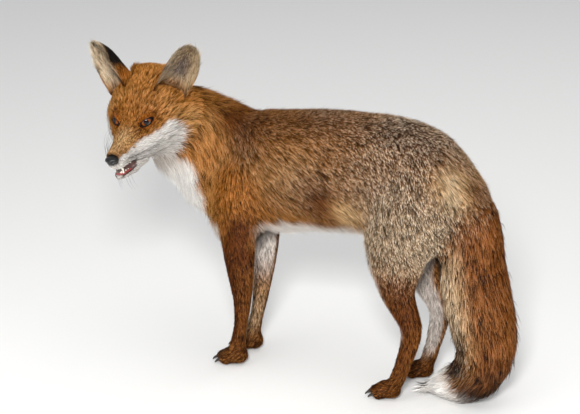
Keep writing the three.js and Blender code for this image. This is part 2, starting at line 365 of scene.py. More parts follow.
def openEye(head, sign):  # head: left, ahead and up of each point, in mm
    centre, across, over, gaze = eyeAxes(sign)
    offset = head - centre
    a = offset @ across
    o = offset @ over
    d = offset @ gaze
    near = (np.hypot(a, o) < 26) & (d > -8)
    room = lidRoom(a, o)
    onRim = (np.abs(np.abs(o) - room) < 0.55) & (room > 0)
    o = np.where(onRim, np.sign(o) * room, o)
    inside = (np.abs(o) < room - 0.01) & ~onRim
    pulled = d + (lidSurface(a, o) - d) * smoothStep(20, 9, np.hypot(a, o * 1.2))
    depth = np.where(inside, np.minimum(d, lidSurface(a, o) - 7), pulled)
    return np.where(near[:, None], centre + np.outer(a, across) + np.outer(o, over)
                    + depth[:, None] * gaze, head)


def sculptHead(skin):
    mesh = skin.data
    subdivideWhere(skin, lambda p: (headAxes(p)[1] > -30) & (headAxes(p)[2] > -74)
                   & (np.abs(headAxes(p)[0]) < 62))
    subdivideWhere(skin, lambda p: (headAxes(p)[1] > 20) & (headAxes(p)[2] > -80)
                   & (np.abs(headAxes(p)[0]) < 30))
    for sign in (1, -1):
        centre = eyeAxes(sign)[0]
        subdivideWhere(skin, lambda p: np.linalg.norm(headAxes(p).T - centre, axis=1) < 17)
    net = SkinNet(mesh)
    points = readPoints(mesh)
    face = (headAxes(points)[1] > -36) & (headAxes(points)[2] > -88)
    points = net.average(points, 3, 0.5 * face)
    left, ahead, up = headAxes(points)
    normals = net.normals(mesh, points)
    side = np.abs(left)
    onHead = (up > -90) & (ahead > -60) & (side < 80)
    swell = np.zeros(len(points))
    swell += 2.2 * hill(side, 21, 9) * hill(ahead, 5, 12) * hill(up, 13, 7)  # brows
    swell -= 1.8 * hill(side, 0, 7) * hill(ahead, 4, 16) * smoothStep(-20, 0, up)  # stop
    swell -= 1.6 * hill(side, 15, 6) * hill(ahead, 20, 10) * hill(up, -10, 9)  # below the inner corners
    swell += 1.6 * hill(side, 33, 12) * hill(ahead, -2, 14) * hill(up, -17, 8)  # cheek bones
    swell += 1.3 * hill(ahead, 52, 12) * hill(up, -38, 8) * smoothStep(5, 12, side)  # whisker pads
    swell -= 0.7 * hill(ahead, 24, 12) * hill(up, -34, 9) * smoothStep(8, 16, side)
    swell -= 1.2 * hill(side, 0, 2.2) * smoothStep(60, 66, ahead) * smoothStep(-38, -44, up)  # cleft lip
    points = points + normals * (swell * onHead * mm)[:, None]
    head = headAxes(points).T
    head = hollowMouth(head)
    for sign in (1, -1):
        head = openEye(head, sign)
    points = fromHead(*head.T)
    writePoints(mesh, points)


# The mouth stands open: the palate is hollow and the lower jaw is a trough.
mouthSettings = {
    "back": 16,  # how far ahead the corner of the mouth lies
    "middle": -55,  # level between the jaws
    "lip": 1.9,  # width of a lip
    "trough": 6.5,
    "palate": 4.0,
}


def jawHalf(ahead):  # half-width of the lower jaw at its lips
    return np.interp(ahead, [10, 34, 48, 54, 57.5, 59], [20, 14.2, 10.8, 8.2, 4.4, 1])


def hollowMouth(head):
    m = mouthSettings
    left, ahead, up = head.T
    side = np.abs(left)
    room = jawHalf(ahead) - m["lip"]
    within = smoothStep(1.8, -0.6, side - room) * smoothStep(m["back"], m["back"] + 12, ahead)
    lower = (up < m["middle"]) & (up > -67) & (ahead < 66)
    upper = (up >= m["middle"]) & (up < -44) & (ahead < 64)
    sunk = up - m["trough"] * within * smoothStep(-68, -61, up)
    raised = up + m["palate"] * within * smoothStep(-41, -47, up)
    newUp = np.where(lower, sunk, np.where(upper, raised, up))
    flat = (np.hypot(left / 9, (up + 33) / 6.5) < 1) & (ahead > 60)
    newAhead = np.where(flat, np.minimum(ahead, 68.5), ahead)  # where the nose pad sits
    return np.stack([left, newAhead, newUp], -1)


# The ears: cupped leaves that stand out, lean back and face outwards.
earSettings = {
    "length": 90,
    "halfWidth": 28,
    "buried": 0.24,  # share of the length inside the head
    "cup": 1.3,
    "outwards": {1: 42, -1: 27},  # degrees, left and right
    "innerFoot": {1: 0.14, -1: 0.42},  # how much wider the foot is towards the crown
    "outerFoot": {1: -0.28, -1: -0.5},
    "back": 14,
    "splay": 25,
    "spread": 56,  # place of the foot
    "behind": 46,
    "level": 38,
    "coat": 0.9,
}


def earMatrix(sign):  # turns the leaf's across, back and rise to the head's left, back and up
    e = earSettings
    return np.array(Matrix.Rotation(math.radians(sign * e["splay"]), 3, "Y")
                    @ Matrix.Rotation(math.radians(-e["back"]), 3, "X")
                    @ Matrix.Rotation(math.radians(sign * e["outwards"][sign]), 3, "Z"))


def earAxes(points, sign):  # across, back and rise of each point in one ear's own leaf
    e = earSettings
    left, ahead, up = headAxes(points)
    place = np.array([sign * e["spread"], e["behind"], e["level"]])
    return ((np.stack([left, -ahead, up], -1) - place) @ earMatrix(sign)).T


def leafShape(across, share, sign, outer):  # half-width and hollow of the leaf at a share of its length
    e = earSettings
    beyond = np.clip((share - 0.35) / 0.65, 0, 1)
    taper = np.sqrt(np.maximum(0, 1 - beyond ** 2.2))
    outside = 0.5 + 0.5 * np.clip(1.5 * outer, -1, 1)
    low = 1 - np.clip(share / 0.5, 0, 1)
    wide = (e["halfWidth"] - e["coat"]) * taper
    wide = wide * (1 + low * (e["innerFoot"][sign] * (1 - outside) + e["outerFoot"][sign] * outside))
    hollow = e["cup"] * (wide - across ** 2 / np.maximum(wide, 1)) * (1 - 0.35 * share)
    return wide, hollow


def solidHalf(share):  # half-thickness of the solid's ear at a share of its length
    return 4.6 - 2.4 * share


def leafHalf(share):  # half-thickness of the skin's own leaf
    return 2.3 - 1.2 * share


def leafMiddle(hollow, share):
    return hollow + solidHalf(share) - earSettings["coat"] - leafHalf(share)


def earShare(points):  # 1 on the leaves of the ears, 0 elsewhere
    found = np.zeros(len(points))
    for sign in (1, -1):
        across, back, rise = earAxes(points, sign)
        share = (rise + 1.5 * 0.5) / earSettings["length"] + earSettings["buried"]
        wide, hollow = leafShape(across, np.clip(share, 0, 1), sign, sign * across / 20)
        middle = leafMiddle(hollow, share)
        close = (np.abs(back - middle) < 3.4) & (np.abs(across) < wide + 1.5)
        found = np.maximum(found, close & (share > 0.16) & (share < 1.04))
    return found.astype(float)


def makeEar(name, sign):
    e = earSettings

    def leaf(t, c, s, ball):
        up = (ball[:, 2] + 1) / 2
        wide = leafShape(0, up, sign, sign * c)[0]
        foot = np.sqrt(np.maximum(0, 1 - (1 - np.minimum(1, up / 0.1)) ** 2))
        across = c * wide * foot
        hollow = leafShape(across, up, sign, sign * across / 20)[1]
        half = leafHalf(up) * foot * np.sqrt(np.maximum(0, 1 - up ** 8))
        back = s * half + hollow + solidHalf(up) - e["coat"] - half
        rise = (up - e["buried"]) * e["length"] - 1.5 * up
        points = np.stack([across, back, rise], -1) @ earMatrix(sign).T
        points += [sign * e["spread"], e["behind"], e["level"]]
        return fromHead(points[:, 0], -points[:, 1], points[:, 2])
    return shapedBall(name, 44, 40, leaf)


def dropCrumbs(piece):  # keeps only the largest connected shell
    editWhole(piece, bpy.ops.mesh.separate, type="LOOSE")
    shells = sorted(bpy.context.selected_objects, key=lambda shell: len(shell.data.vertices))
    for crumb in shells[:-1]:
        bpy.data.objects.remove(crumb)
    shells[-1].name = piece.name if shells[-1] is piece else "skin"
    return shells[-1]


def carveCups(skin):  # the head sinks away in front of each ear
    points = readPoints(skin.data)
    for sign in (1, -1):
        across, back, rise = earAxes(points, sign)
        share = np.clip(rise / earSettings["length"] + earSettings["buried"], 0, 1)
        wide, hollow = leafShape(across, np.maximum(share, 0.2), sign, sign * across / 20)
        ahead = hollow + 2 - back
        limit = -16 + 0.42 * ahead
        over = np.maximum(rise - limit, 0) * smoothStep(-4, 1, ahead) * smoothStep(42, 26, ahead)
        over *= smoothStep(wide + 4, wide - 6, np.abs(across)) * (rise > -25)
        down = np.array([0, 0, -1.0]) @ earMatrix(sign).T
        down[1] *= -1
        points = points + np.outer(over * mm, down @ headTurn)
    net = SkinNet(skin.data)
    ahead, up = headAxes(points)[1:]
    crown = smoothStep(8, 20, up) * (ahead < 0) * (ahead > -95)
    writePoints(skin.data, net.average(points, 5, 0.6 * crown))


def uniteEars(skin, ears):
    for ear in ears:
        applyModifier(skin, "BOOLEAN", operation="UNION", object=ear, solver="EXACT")
    for ear in ears:
        bpy.data.objects.remove(ear)
    mesh = skin.data
    net = SkinNet(mesh)
    points = readPoints(mesh)
    onEar = earShare(points)
    seam = net.average(onEar, 3)
    points = net.average(points, 5, 0.6 * (hill(seam, 0.5, 0.35) > 0.3))
    writePoints(mesh, points)
    applyModifier(skin, "TRIANGULATE")


# What the coat is like all over the skin, worked out at each of its points.

class Hide:  # the finished skin's points, parts, lie of the coat and markings
    def __init__(self, skin):
        mesh = skin.data
        self.mesh = mesh
        self.net = SkinNet(mesh)
        self.points = readPoints(mesh)
        self.normals = unit(self.net.average(self.net.normals(mesh, self.points), 2))
        raw = partShares(self.points)
        onEar = earShare(self.points)
        raw = {kind: share * (1 - onEar) for kind, share in raw.items()}
        raw["ear"] = onEar
        self.kinds = list(raw)
        self.owner = np.argmax(np.stack([raw[kind] for kind in self.kinds]), 0)
        self.parts = {kind: self.net.average(share, 3 if kind == "ear" else 14)
                      for kind, share in raw.items()}
        self.left, self.ahead, self.up = headAxes(self.points)
        self.x, self.y, self.z = bodyAxes(self.points)
        self.side = np.abs(self.left)
        self.head = np.clip(self.parts["head"] + self.parts["lower_jaw"] + self.parts["ear"], 0, 1)
        self.flow = layOfCoat(self)
        reach = sum(self.parts[kind] * coatKinds[kind][0] for kind in coatKinds) * mm
        seen = self.points + 0.6 * reach[:, None] * self.flow  # where the hair rooted here is seen
        self.seenHead = headAxes(seen)
        self.seenBody = bodyAxes(seen)

    def blotches(self, seed, times):  # soft random patches, about 1 either way
        rng = np.random.default_rng(seed)
        patches = self.net.average(rng.normal(size=len(self.points)), times)
        return patches / patches.std()

    def onHead(self, left, ahead, up, radius):  # a soft spot on both sides of the head
        seenLeft, seenAhead, seenUp = self.seenHead
        far = (np.abs(seenLeft) - left) ** 2 + (seenAhead - ahead) ** 2 + (seenUp - up) ** 2
        return np.exp(-far / radius ** 2) * self.head

    def onBody(self, x, y, z, radius):  # a soft spot on both sides of the body
        seenX, seenY, seenZ = self.seenBody
        far = (np.abs(seenX) - x) ** 2 + (seenY - y) ** 2 + (seenZ - z) ** 2
        return np.exp(-far / radius ** 2) * (1 - self.head)

    def spots(self, name):  # the sum of one row of body spots
        return sum(strength * self.onBody(*place) for strength, *place in bodySpots[name])


tailPath = np.array([
    [0, 256, 352], [0, 270, 320], [0, 278, 288], [1, 285, 252], [2, 291, 208], [4, 301, 160],
    [6, 314, 110], [8, 315, 70], [11, 292, 40], [15, 260, 25], [20, 222, 14]])  # mm


def alongTail(hide):  # share of the tail's length and its direction, at each point
    steps = np.linspace(0, len(tailPath) - 1, 61)
    places = np.stack([np.interp(steps, range(len(tailPath)), tailPath[:, k]) for k in range(3)], -1)
    ways = unit(np.gradient(places, axis=0))
    body = np.stack([hide.x, hide.y, hide.z], -1)
    nearest = np.zeros(len(body), int)
    onTail = hide.y > 150
    gaps = np.linalg.norm(body[onTail][:, None] - places[None], axis=2)
    nearest[onTail] = np.argmin(gaps, 1)
    return nearest / 60, ways[nearest]


def layOfCoat(hide):  # unit vectors along the skin
    y, parts = hide.y, hide.parts
    steep = 28 + 30 * smoothStep(90, 220, y) + 34 * smoothStep(0, -90, y)
    steep = np.radians(steep)
    nothing = np.zeros(len(y))
    back = np.stack([nothing, np.cos(steep), -np.sin(steep)], -1)
    fromNose = np.stack([hide.left, hide.ahead - 76, hide.up + 34], -1)
    fromNose[:, 1] -= 14 * smoothStep(20, 50, hide.ahead)
    fanned = unit(fromNose) @ headTurn
    jaw = np.stack([0.25 * np.sign(hide.left), -1 + nothing, -0.15 + nothing], -1) @ headTurn
    ear = np.zeros_like(back)
    for sign in (1, -1):
        own = hide.left * sign > 0
        rise = np.array([0, 0, 1.0]) @ earMatrix(sign).T
        spread = np.array([1.0, 0, 0]) @ earMatrix(sign).T
        across = earAxes(hide.points, sign)[0]
        grain = unit(rise + np.outer(0.35 * across / 28, spread))
        grain[:, 1] *= -1
        ear[own] = (grain @ headTurn)[own]
    fixed = {
        "upper_arm": (0, 0.28, -1), "forearm": (0, 0.12, -1), "forepaw": (0, -1, -0.35),
        "thigh": (0, 0.5, -1), "shank": (0, 0.1, -1), "hindfoot": (0, -1, -0.35)}
    flow = parts["trunk"][:, None] * back
    steepNeck = unit(np.array([0, 0.55, -1.0]))
    flow += parts["neck"][:, None] * (steepNeck + 0.5 * back)
    for kind, way in fixed.items():
        flow += parts[kind][:, None] * unit(np.array(way, float))
    flow += parts["head"][:, None] * fanned + parts["lower_jaw"][:, None] * jaw
    flow += parts["ear"][:, None] * ear
    tail = parts["tail_base"] + parts["tail_middle"] + parts["tail_tip"]
    flow += tail[:, None] * alongTail(hide)[1]
    for times in (6, 6, 0):
        flow -= (flow * hide.normals).sum(1, keepdims=True) * hide.normals
        flow = unit(flow)
        if times:
            flow = hide.net.average(flow, times)
    return flow


def curveAlong(hide, flow):  # how fast the skin turns away along the lie of the coat, 1/m
    a, b = hide.net.edges.T
    step = hide.points[b] - hide.points[a]
    turn = hide.normals[b] - hide.normals[a]
    top = np.zeros(len(flow))
    bottom = np.zeros(len(flow))
    for end in (a, b):
        s = (flow[end] * step).sum(1)
        top += np.bincount(end, s * (flow[end] * turn).sum(1), len(flow))
        bottom += np.bincount(end, s * s, len(flow))
    return np.clip(hide.net.average(top / np.maximum(bottom, 1e-12), 8), -10, 30)


# The markings: how much each point has of eight tones of the coat.
toneNames = ("white", "black", "grizzle", "brown", "buff", "orange", "grey", "cream")
markSets = {"marksOne": toneNames[:4], "marksTwo": toneNames[4:]}  # four to a colour attribute


def storeMarks(mesh, tones):
    for title, four in markSets.items():
        storeValues(mesh, title, np.stack([tones[tone] for tone in four], -1), "FLOAT_COLOR")



# Soft spots on both sides of the body: strength, then x, y, z and radius in mm.
bodySpots = {
    "plainHip": ((0.75, 46, 272, 340, 34),),
    "plainFlank": ((1, 58, 80, 290, 30), (0.8, 56, 114, 278, 24)),
    "brown": ((0.45, 32, -82, 389, 26), (0.45, 50, -57, 367, 28), (0.9, 68, -52, 232, 24),
              (0.7, 66, -64, 200, 24), (0.8, 46, -141, 401, 16), (0.65, 48, 204, 385, 34),
              (0.7, 58, 76, 296, 30)),
    "buff": ((0.8, 56, 146, 290, 22), (1.3, 38, 268, 346, 19), (1.3, 44, 273, 318, 19),
             (0.5, 55, 242, 340, 40)),
    "cream": ((0.7, 38, 266, 342, 14), (0.7, 43, 270, 320, 14)),
    "patch": ((1, 56, 113, 277, 21),),
}

# Edges of the white, as places along one axis and where the edge lies on another, in mm.
whiteEdges = {
    "cheekTop": ([-41, -32, -24, -9, -1.5, 7, 13, 21, 32, 46, 55, 63, 70],
                 [-19, -9, -6, -10, -14, -16.5, -19, -22, -26, -28, -29, -30, -31]),
    "cheekRear": ([-80, -73, -58, -50, -42, -30, -22, -7], [-44, -34, -32, -33, -36, -39, -38, -30]),
    "bib": ([190, 207, 229, 254, 280, 300, 317, 327, 340, 360, 420],
            [-103, -107, -117, -130, -130, -129, -130, -152, -162, -185, -230]),
    "belly": ([-140, -60, 0, 5, 132, 150, 200], [222, 222, 234, 242, 248, 240, 232]),
}


def lineDistance(hide, corners):  # mm from a line drawn on the head, the same on both sides
    place = np.stack([hide.side, hide.ahead, hide.up], -1)
    nearest = np.full(len(place), 1e3)
    for start, end in zip(corners[:-1], corners[1:]):
        start, end = np.array(start, float), np.array(end, float)
        run = end - start
        share = np.clip((place - start) @ run / (run @ run), 0, 1)
        nearest = np.minimum(nearest, np.linalg.norm(place - start - share[:, None] * run, axis=1))
    return nearest


def findEars(hide):  # the ears' insides, and how high and how far from the rim each point lies
    inside, hide.riseShare, hide.inset, hide.outer = np.zeros((4, len(hide.points)))
    for sign in (1, -1):
        own = hide.left * sign > 0
        across, back, rise = earAxes(hide.points[own], sign)
        share = rise / earSettings["length"] + earSettings["buried"]
        wide, hollow = leafShape(across, np.clip(share, 0, 1), sign, sign * across / 20)
        inside[own] = back < leafMiddle(hollow, share) - 0.2
        hide.riseShare[own] = share
        hide.inset[own] = np.clip(1 - np.abs(across) / np.maximum(wide, 1), 0, 1)
        hide.outer[own] = sign * across / np.maximum(wide, 1)
    hide.inEar = hide.net.average(inside, 1) * hide.parts["ear"]


def findEyes(hide):  # the dark line of the lids, the bare skin between them and mm from an eye
    hide.eyeLine, hide.bare = np.zeros((2, len(hide.points)))
    hide.nearEye = np.full(len(hide.points), 99.0)
    for sign in (1, -1):
        centre, *ways = eyeAxes(sign)
        across, over, out = ways @ (np.stack([hide.left, hide.ahead, hide.up], -1) - centre).T
        gap = np.where(out > -4, np.hypot(across / 10.5, over / 4.7), 99)
        hide.eyeLine = np.maximum(hide.eyeLine, smoothStep(1.24, 1.06, gap))
        hide.bare = np.maximum(hide.bare, smoothStep(1.08, 0.98, gap))
        near = np.where(out > -8, np.hypot(across, 1.2 * over), 99)
        hide.nearEye = np.minimum(hide.nearEye, near)


def findBare(hide):  # nose pad, mouth, soles and the end of the brush carry no tufts
    side, ahead, up = hide.side, hide.ahead, hide.up
    half = jawHalf(ahead)
    hide.mouth = hollowShare(hide)
    hide.nosePad = smoothStep(1.1, 0.95, np.hypot(hide.left / 10, (up + 33.2) / 7.8)) * (ahead > 60)
    inside = (side < 15) * hill(up, -52, 8) * (ahead > 14) * (ahead < 62)
    inside = inside * (hide.normals @ headTurn[1] < 0.5)
    deep = smoothStep(0.1, 0.35, hide.mouth) + 0.9 * inside * (side < half - 0.5)
    deep += (side < half - 0.8) * (ahead > 16) * (ahead < 55) * hill(up, -53.5, 6) * 3
    deep += (ahead > 51) * (side < 7) * (up < -54) * (up > -62.5)
    soles = smoothStep(-0.6, -0.85, hide.normals[:, 2]) * (hide.seenBody[2] < 5)
    endOn = (hide.tailWay * hide.normals).sum(1)  # the hair round the brush meets beyond its end
    for more in (hide.nosePad, np.clip(deep, 0, 1), soles,
                 smoothStep(0.55, 0.8, endOn) * hide.parts["tail_tip"]):
        hide.bare = np.maximum(hide.bare, more)


def whiteFace(hide, skull, ragged):  # lips, cheeks and chin
    seenAhead, seenUp = hide.seenHead[1:]
    edge = np.interp(seenAhead, *whiteEdges["cheekTop"])
    rear = np.interp(seenUp, *whiteEdges["cheekRear"])
    rear = np.minimum(rear, -100 + 68 * smoothStep(26, 44, hide.side))  # the throat is white throughout
    below = smoothStep(2.2, -2.2, seenUp - edge + 1.2 * ragged)
    face = below * smoothStep(-4, 3, seenAhead - rear + 1.8 * ragged) * skull
    return np.maximum(face, hide.parts["lower_jaw"])


def whiteBody(hide, skull, ragged):  # bib and belly
    x, y, z = hide.seenBody
    parts = hide.parts
    brink = np.interp(z, *whiteEdges["bib"])
    brink -= 45 * smoothStep(-10, -40, x) * smoothStep(270, 350, z)  # drawn out by the turn of the head
    front = np.clip(parts["neck"] + parts["trunk"] + 0.6 * parts["upper_arm"], 0, 1) * (1 - skull)
    bib = smoothStep(4, -5, y - brink + 3 * ragged) * front
    underside = np.interp(y, *whiteEdges["belly"])
    belly = smoothStep(4, -3, z - underside - 10 + 2.5 * ragged) * smoothStep(0.6, 0.1, hide.normals[:, 2])
    belly *= parts["trunk"] * smoothStep(-130, -90, y)
    return bib + 0.9 * belly


def markings(hide):
    parts, side, ahead, up = hide.parts, hide.side, hide.ahead, hide.up
    x, y, z = hide.seenBody
    nx, ny, nz = hide.normals.T
    broad = hide.blotches(3, 60)
    ragged = hide.blotches(4, 6)
    tones = {}
    ear = parts["ear"]
    skull = np.clip(hide.head - ear, 0, 1)
    tail = parts["tail_base"] + parts["tail_middle"] + parts["tail_tip"]
    s, hide.tailWay = alongTail(hide)
    findEars(hide)
    findEyes(hide)
    findBare(hide)

    face = whiteFace(hide, skull, ragged)
    inner = smoothStep(0.1, 0.6, -np.sign(x) * nx)
    foreleg = parts["upper_arm"] + parts["forearm"]
    hindleg = parts["thigh"] + parts["shank"]
    innerFore = inner * foreleg * smoothStep(100, 170, z) * smoothStep(0.75, 0.2, -ny)
    innerHind = inner * hindleg * smoothStep(20, 60, z) * smoothStep(0.8, 0.3, ny)
    shin = smoothStep(0.35, 0.8, -ny) * parts["shank"] * smoothStep(80, 130, z)
    shin += smoothStep(0.5, 0.9, -ny) * parts["thigh"] * smoothStep(250, 200, z)
    tip = smoothStep(0.77, 0.83, s + 0.012 * ragged) * tail
    tones["white"] = np.clip(face + whiteBody(hide, skull, ragged) + 0.75 * innerFore
                             + 0.7 * innerHind + 0.75 * shin + tip, 0, 1)

    # Black of the ears' backs, lips, eye rims, paws and the band before the white tip; inside the mouth the
    # black is partly the inner lips and partly painted shade.
    inEar, riseShare, outer = hide.inEar, hide.riseShare, hide.outer
    backs = ear * (1 - inEar) * smoothStep(0.3, 0.55, riseShare + 0.03 * ragged)
    band = smoothStep(0.64, 0.74, s + 0.02 * ragged) * smoothStep(0.83, 0.78, s) * tail
    # The band is stronger on the brush's underside, and a dark stretch runs down its front from about
    # halfway.
    band *= 0.45 + 0.4 * smoothStep(0.1, -0.6, nz)
    band += 0.55 * tail * smoothStep(0.42, 0.6, s) * smoothStep(0.8, 0.74, s) * smoothStep(-0.2, -0.5, ny)
    tear = smoothStep(2.6, 1.2, lineDistance(hide, [(17.5, 8, -6.5), (18.5, 18, -11), (16, 27, -15)]))
    darkPaw = (parts["forepaw"] + 0.5 * parts["hindfoot"]) * smoothStep(0.2, 0.8, -ny + 0.3 * nz)
    whiskerSpot = hide.onHead(16.5, 50, -37, 4.5) + 0.8 * hide.onHead(19, 38, -32, 5)
    black = np.clip(backs + band + smoothStep(0.02, 0.3, hide.mouth) + hide.eyeLine + 0.7 * tear * skull
                    + 0.55 * darkPaw + hide.nosePad * hide.head, 0, 1)
    tones["black"] = np.clip(black + 0.35 * whiskerSpot, 0, 1)

    # Long banded hair over the back, flanks, hips and thighs.
    rising = np.interp(y, [-90, -30, 40, 110, 170, 320], [0.05, 0.16, 0.3, 0.5, 0.85, 0.8])
    body = parts["trunk"] * smoothStep(238, 292, z) + 0.12 * parts["neck"]
    thigh = parts["thigh"] * smoothStep(150, 235, z) * (1 - 0.7 * inner)
    thigh += 0.45 * parts["shank"] * smoothStep(150, 205, z) * (1 - inner)
    brush = tail * (1 - tip) * (0.04 + 0.6 * smoothStep(-0.05, -0.5, ny))
    tones["grizzle"] = np.clip(rising * body + 0.95 * thigh + brush + 0.05 * broad * parts["trunk"], 0, 1)
    tones["grizzle"] *= 1 - hide.spots("plainHip")
    tones["grizzle"] *= 1 - 0.6 * parts["trunk"] * smoothStep(268, 300, y)
    tones["grizzle"] *= 1 - np.clip(hide.spots("plainFlank"), 0, 1)
    tones["grizzle"] *= 1 - 0.8 * tones["white"] * (1 - tail)

    ridge = smoothStep(0.45, 0.95, nz)
    front = smoothStep(0.2, -0.4, ny - 0.1 * nx)  # of the brush
    lowFlank = smoothStep(300, 262, z) * parts["trunk"] * smoothStep(10, 60, y) * smoothStep(106, 86, y)
    tones["brown"] = (0.45 * ridge * (parts["trunk"] + parts["neck"]) * (1 - skull)
                      + hide.spots("brown") + 0.35 * lowFlank
                      + 0.3 * smoothStep(262, 246, z) * parts["trunk"]
                      + 0.45 * parts["trunk"] * smoothStep(280, 305, y))
    outerLeg = (1 - inner) * (parts["forearm"] + parts["shank"])
    tones["brown"] += (0.9 * smoothStep(0, 0.6, -ny) * parts["forearm"] + 0.75 * outerLeg
                       + 0.72 * parts["hindfoot"] + 0.6 * parts["forepaw"]
                       + 0.2 * parts["upper_arm"]
                       + tail * (0.25 + 0.55 * (1 - front)) * smoothStep(-0.1, 0.3, s))
    tones["brown"] = np.clip(tones["brown"] + 0.08 * broad, 0, 1)
    patch = hide.spots("patch")
    tones["brown"] *= 1 - 0.9 * patch
    tones["buff"] = (1.15 * patch + hide.spots("buff")
                     + 0.25 * parts["trunk"] * smoothStep(270, 300, z) * smoothStep(370, 330, z)
                     + 0.6 * (parts["neck"] + ruffShare(hide)) * smoothStep(0.85, 0.4, nz)
                     + 0.5 * smoothStep(0.3, 0.8, ny) * foreleg * smoothStep(100, 150, z)
                     + 0.45 * skull * smoothStep(10, 40, ahead) * smoothStep(-26, -16, up)
                     + 0.3 * hide.onHead(52, -30, 14, 20) + 0.8 * inEar
                     + 0.5 * skull * hill(side, 0, 14) * smoothStep(6, 26, ahead))
    tones["buff"] += 0.22 * skull * smoothStep(-14, 10, up) + 0.35 * hide.onHead(16, 34, -24, 12)
    tones["buff"] = np.clip(tones["buff"] + 0.08 * hide.blotches(5, 30), 0, 1)
    tones["orange"] = np.clip(0.65 * parts["neck"] * smoothStep(0.8, 0.3, nz) + 0.45 * parts["upper_arm"]
                              + 0.75 * skull * smoothStep(16, 8, hide.nearEye)
                              + 0.35 * skull * smoothStep(-14, 10, up) + 0.4 * outerLeg
                              + 0.9 * ear * smoothStep(0.46, 0.32, riseShare) * (1 - inEar)
                              # Warmer orange low on the inner rim of each ear: partly the ear's own colour,
                              # partly painted light on a rim that faces away from the lamps.
                              + (0.8 * inEar * smoothStep(-0.5, -0.85, outer)
                                 * smoothStep(0.5, 0.3, riseShare))
                              + 0.85 * tail * (1 - front), 0, 1)
    # Grey streaks on the lower and rear cheeks: partly grey hair, partly painted shade under the cheeks.
    streak = smoothStep(0.5, 1.6, hide.blotches(6, 4))
    cheekGreyAndShade = (hide.onHead(38, -6, -44, 14) + hide.onHead(52, -15, -30, 14) + hide.onHead(59, -25, -15, 12))
    rim = smoothStep(0.3, 0.12, hide.inset)
    # Dark middle of each ear's hollow and low near its foot: partly the ear's own darker hair, partly
    # painted shade in the hollow, stronger on the left ear.
    coreAndShade = hill(outer, 0.28, 0.5) * hill(riseShare, 0.52, 0.3) * np.where(hide.left > 0, 1.25, 0.4)
    coreAndShade += 0.7 * hill(riseShare, 0.3, 0.12) * hide.inset
    # Paler insides of the ears, on the inner side of the left ear and all over the right: partly pale hair,
    # partly painted light.
    paleAndLit = inEar * np.where(hide.left > 0, 0.12 * smoothStep(0.1, -0.5, outer), 0.14)
    tones["white"] = np.clip(tones["white"] + paleAndLit, 0, 1)
    tones["grey"] = np.clip(face * (0.1 + 0.5 * cheekGreyAndShade * streak + 0.25 * cheekGreyAndShade)
                            + 0.5 * inEar * coreAndShade * (1 - rim) + 0.25 * innerHind, 0, 1)
    tones["brown"] = np.clip(tones["brown"] + 0.85 * inEar * coreAndShade * (1 - rim), 0, 1)
    cream = (inEar * np.clip(0.85 + 0.15 * rim - 0.55 * coreAndShade, 0, 1)
             + 0.48 * tail * front * (1 - tip) * smoothStep(0.7, 0.45, s)
             + 0.5 * inner * foreleg * smoothStep(150, 60, z)
             + hide.spots("cream") + 0.35 * patch + 0.3 * parts["thigh"] * (1 - inner) * hill(z, 255, 70)
             + 0.3 * skull * hill(side, 0, 14) * smoothStep(10, 30, ahead))
    tones["cream"] = np.clip(cream, 0, 1)
    return {name: np.clip(value, 0, 1) for name, value in tones.items()}


def ruffShare(hide):  # 1 on the long hair behind the cheeks
    return hide.parts["head"] * smoothStep(-14, -38, hide.ahead) * smoothStep(14, -12, hide.up)


def hollowShare(hide):  # 1 inside the mouth
    m = mouthSettings
    within = smoothStep(1.6, -0.4, hide.side - jawHalf(hide.ahead) + 0.8)
    within *= smoothStep(m["back"] - 4, m["back"] + 8, hide.ahead)
    towards = np.where(hide.up < m["middle"], hide.normals @ headTurn[2], -(hide.normals @ headTurn[2]))
    facing = smoothStep(0.2, 0.55, towards)
    between = (hide.side < jawHalf(hide.ahead) - 1) * hill(hide.up, -54, 5.5) * (hide.ahead < 56)
    facing = np.maximum(facing, smoothStep(0.2, 0.5, between))
    inFront = smoothStep(55.5, 53, hide.ahead) + (hide.up > m["middle"]) * smoothStep(64, 60, hide.ahead)
    return within * facing * np.clip(inFront, 0, 1) * (hide.up > -72) * (hide.up < -40)


def coatFields(hide):  # length, height, width, density and lock size in mm, at each point
    parts, z = hide.parts, hide.z
    total = sum(parts[kind] for kind in coatKinds)
    names = ("length", "height", "width", "density", "lock")
    coat = {name: sum(parts[kind] * coatKinds[kind][i] for kind in coatKinds) / np.maximum(total, 1e-6)
            for i, name in enumerate(names)}
    skull = np.clip(hide.head - parts["ear"], 0, 1)

    def add(where, **changes):
        for name, change in changes.items():
            coat[name] += change * where

    add(ruffShare(hide), length=13, height=5.5, width=0.3)
    face = skull * smoothStep(-28, 24, hide.ahead)
    add(face, length=-5.5, height=-1.2, width=-0.28, density=0.7, lock=-0.8)
    lids = smoothStep(17, 9, hide.nearEye)
    for name, least in (("length", 2.8), ("height", 0.6), ("width", 0.36)):
        coat[name] += lids * (least - coat[name])
    add(smoothStep(50, 64, hide.ahead) * skull, length=-1.6)  # shorter towards the nose
    web = hill(hide.side, 27, 9) * hill(hide.up, 51, 10) * hill(hide.ahead, -61, 17) * skull
    add(web, length=12, height=10)  # fills the fold between crown and ear
    add(hide.tones["white"] * parts["neck"], length=8, height=2.5)
    rim = smoothStep(0.4, 0.12, hide.inset)
    foot = smoothStep(0.5, 0.25, hide.riseShare)
    coat["length"] += hide.inEar * (3 + 7 * rim + 6 * foot)
    coat["height"] += hide.inEar * (1.2 + 2.4 * rim + 2.0 * foot)
    add(smoothStep(-0.2, -0.7, hide.normals[:, 2]) * parts["trunk"], length=12, height=5)  # belly fringe
    coat["density"] *= 1 - hide.bare
    atFloor = smoothStep(12, 3, z)
    coat["height"] *= 1 - 0.7 * atFloor
    coat["length"] *= 1 - 0.3 * atFloor * (1 - parts["tail_tip"])
    return coat


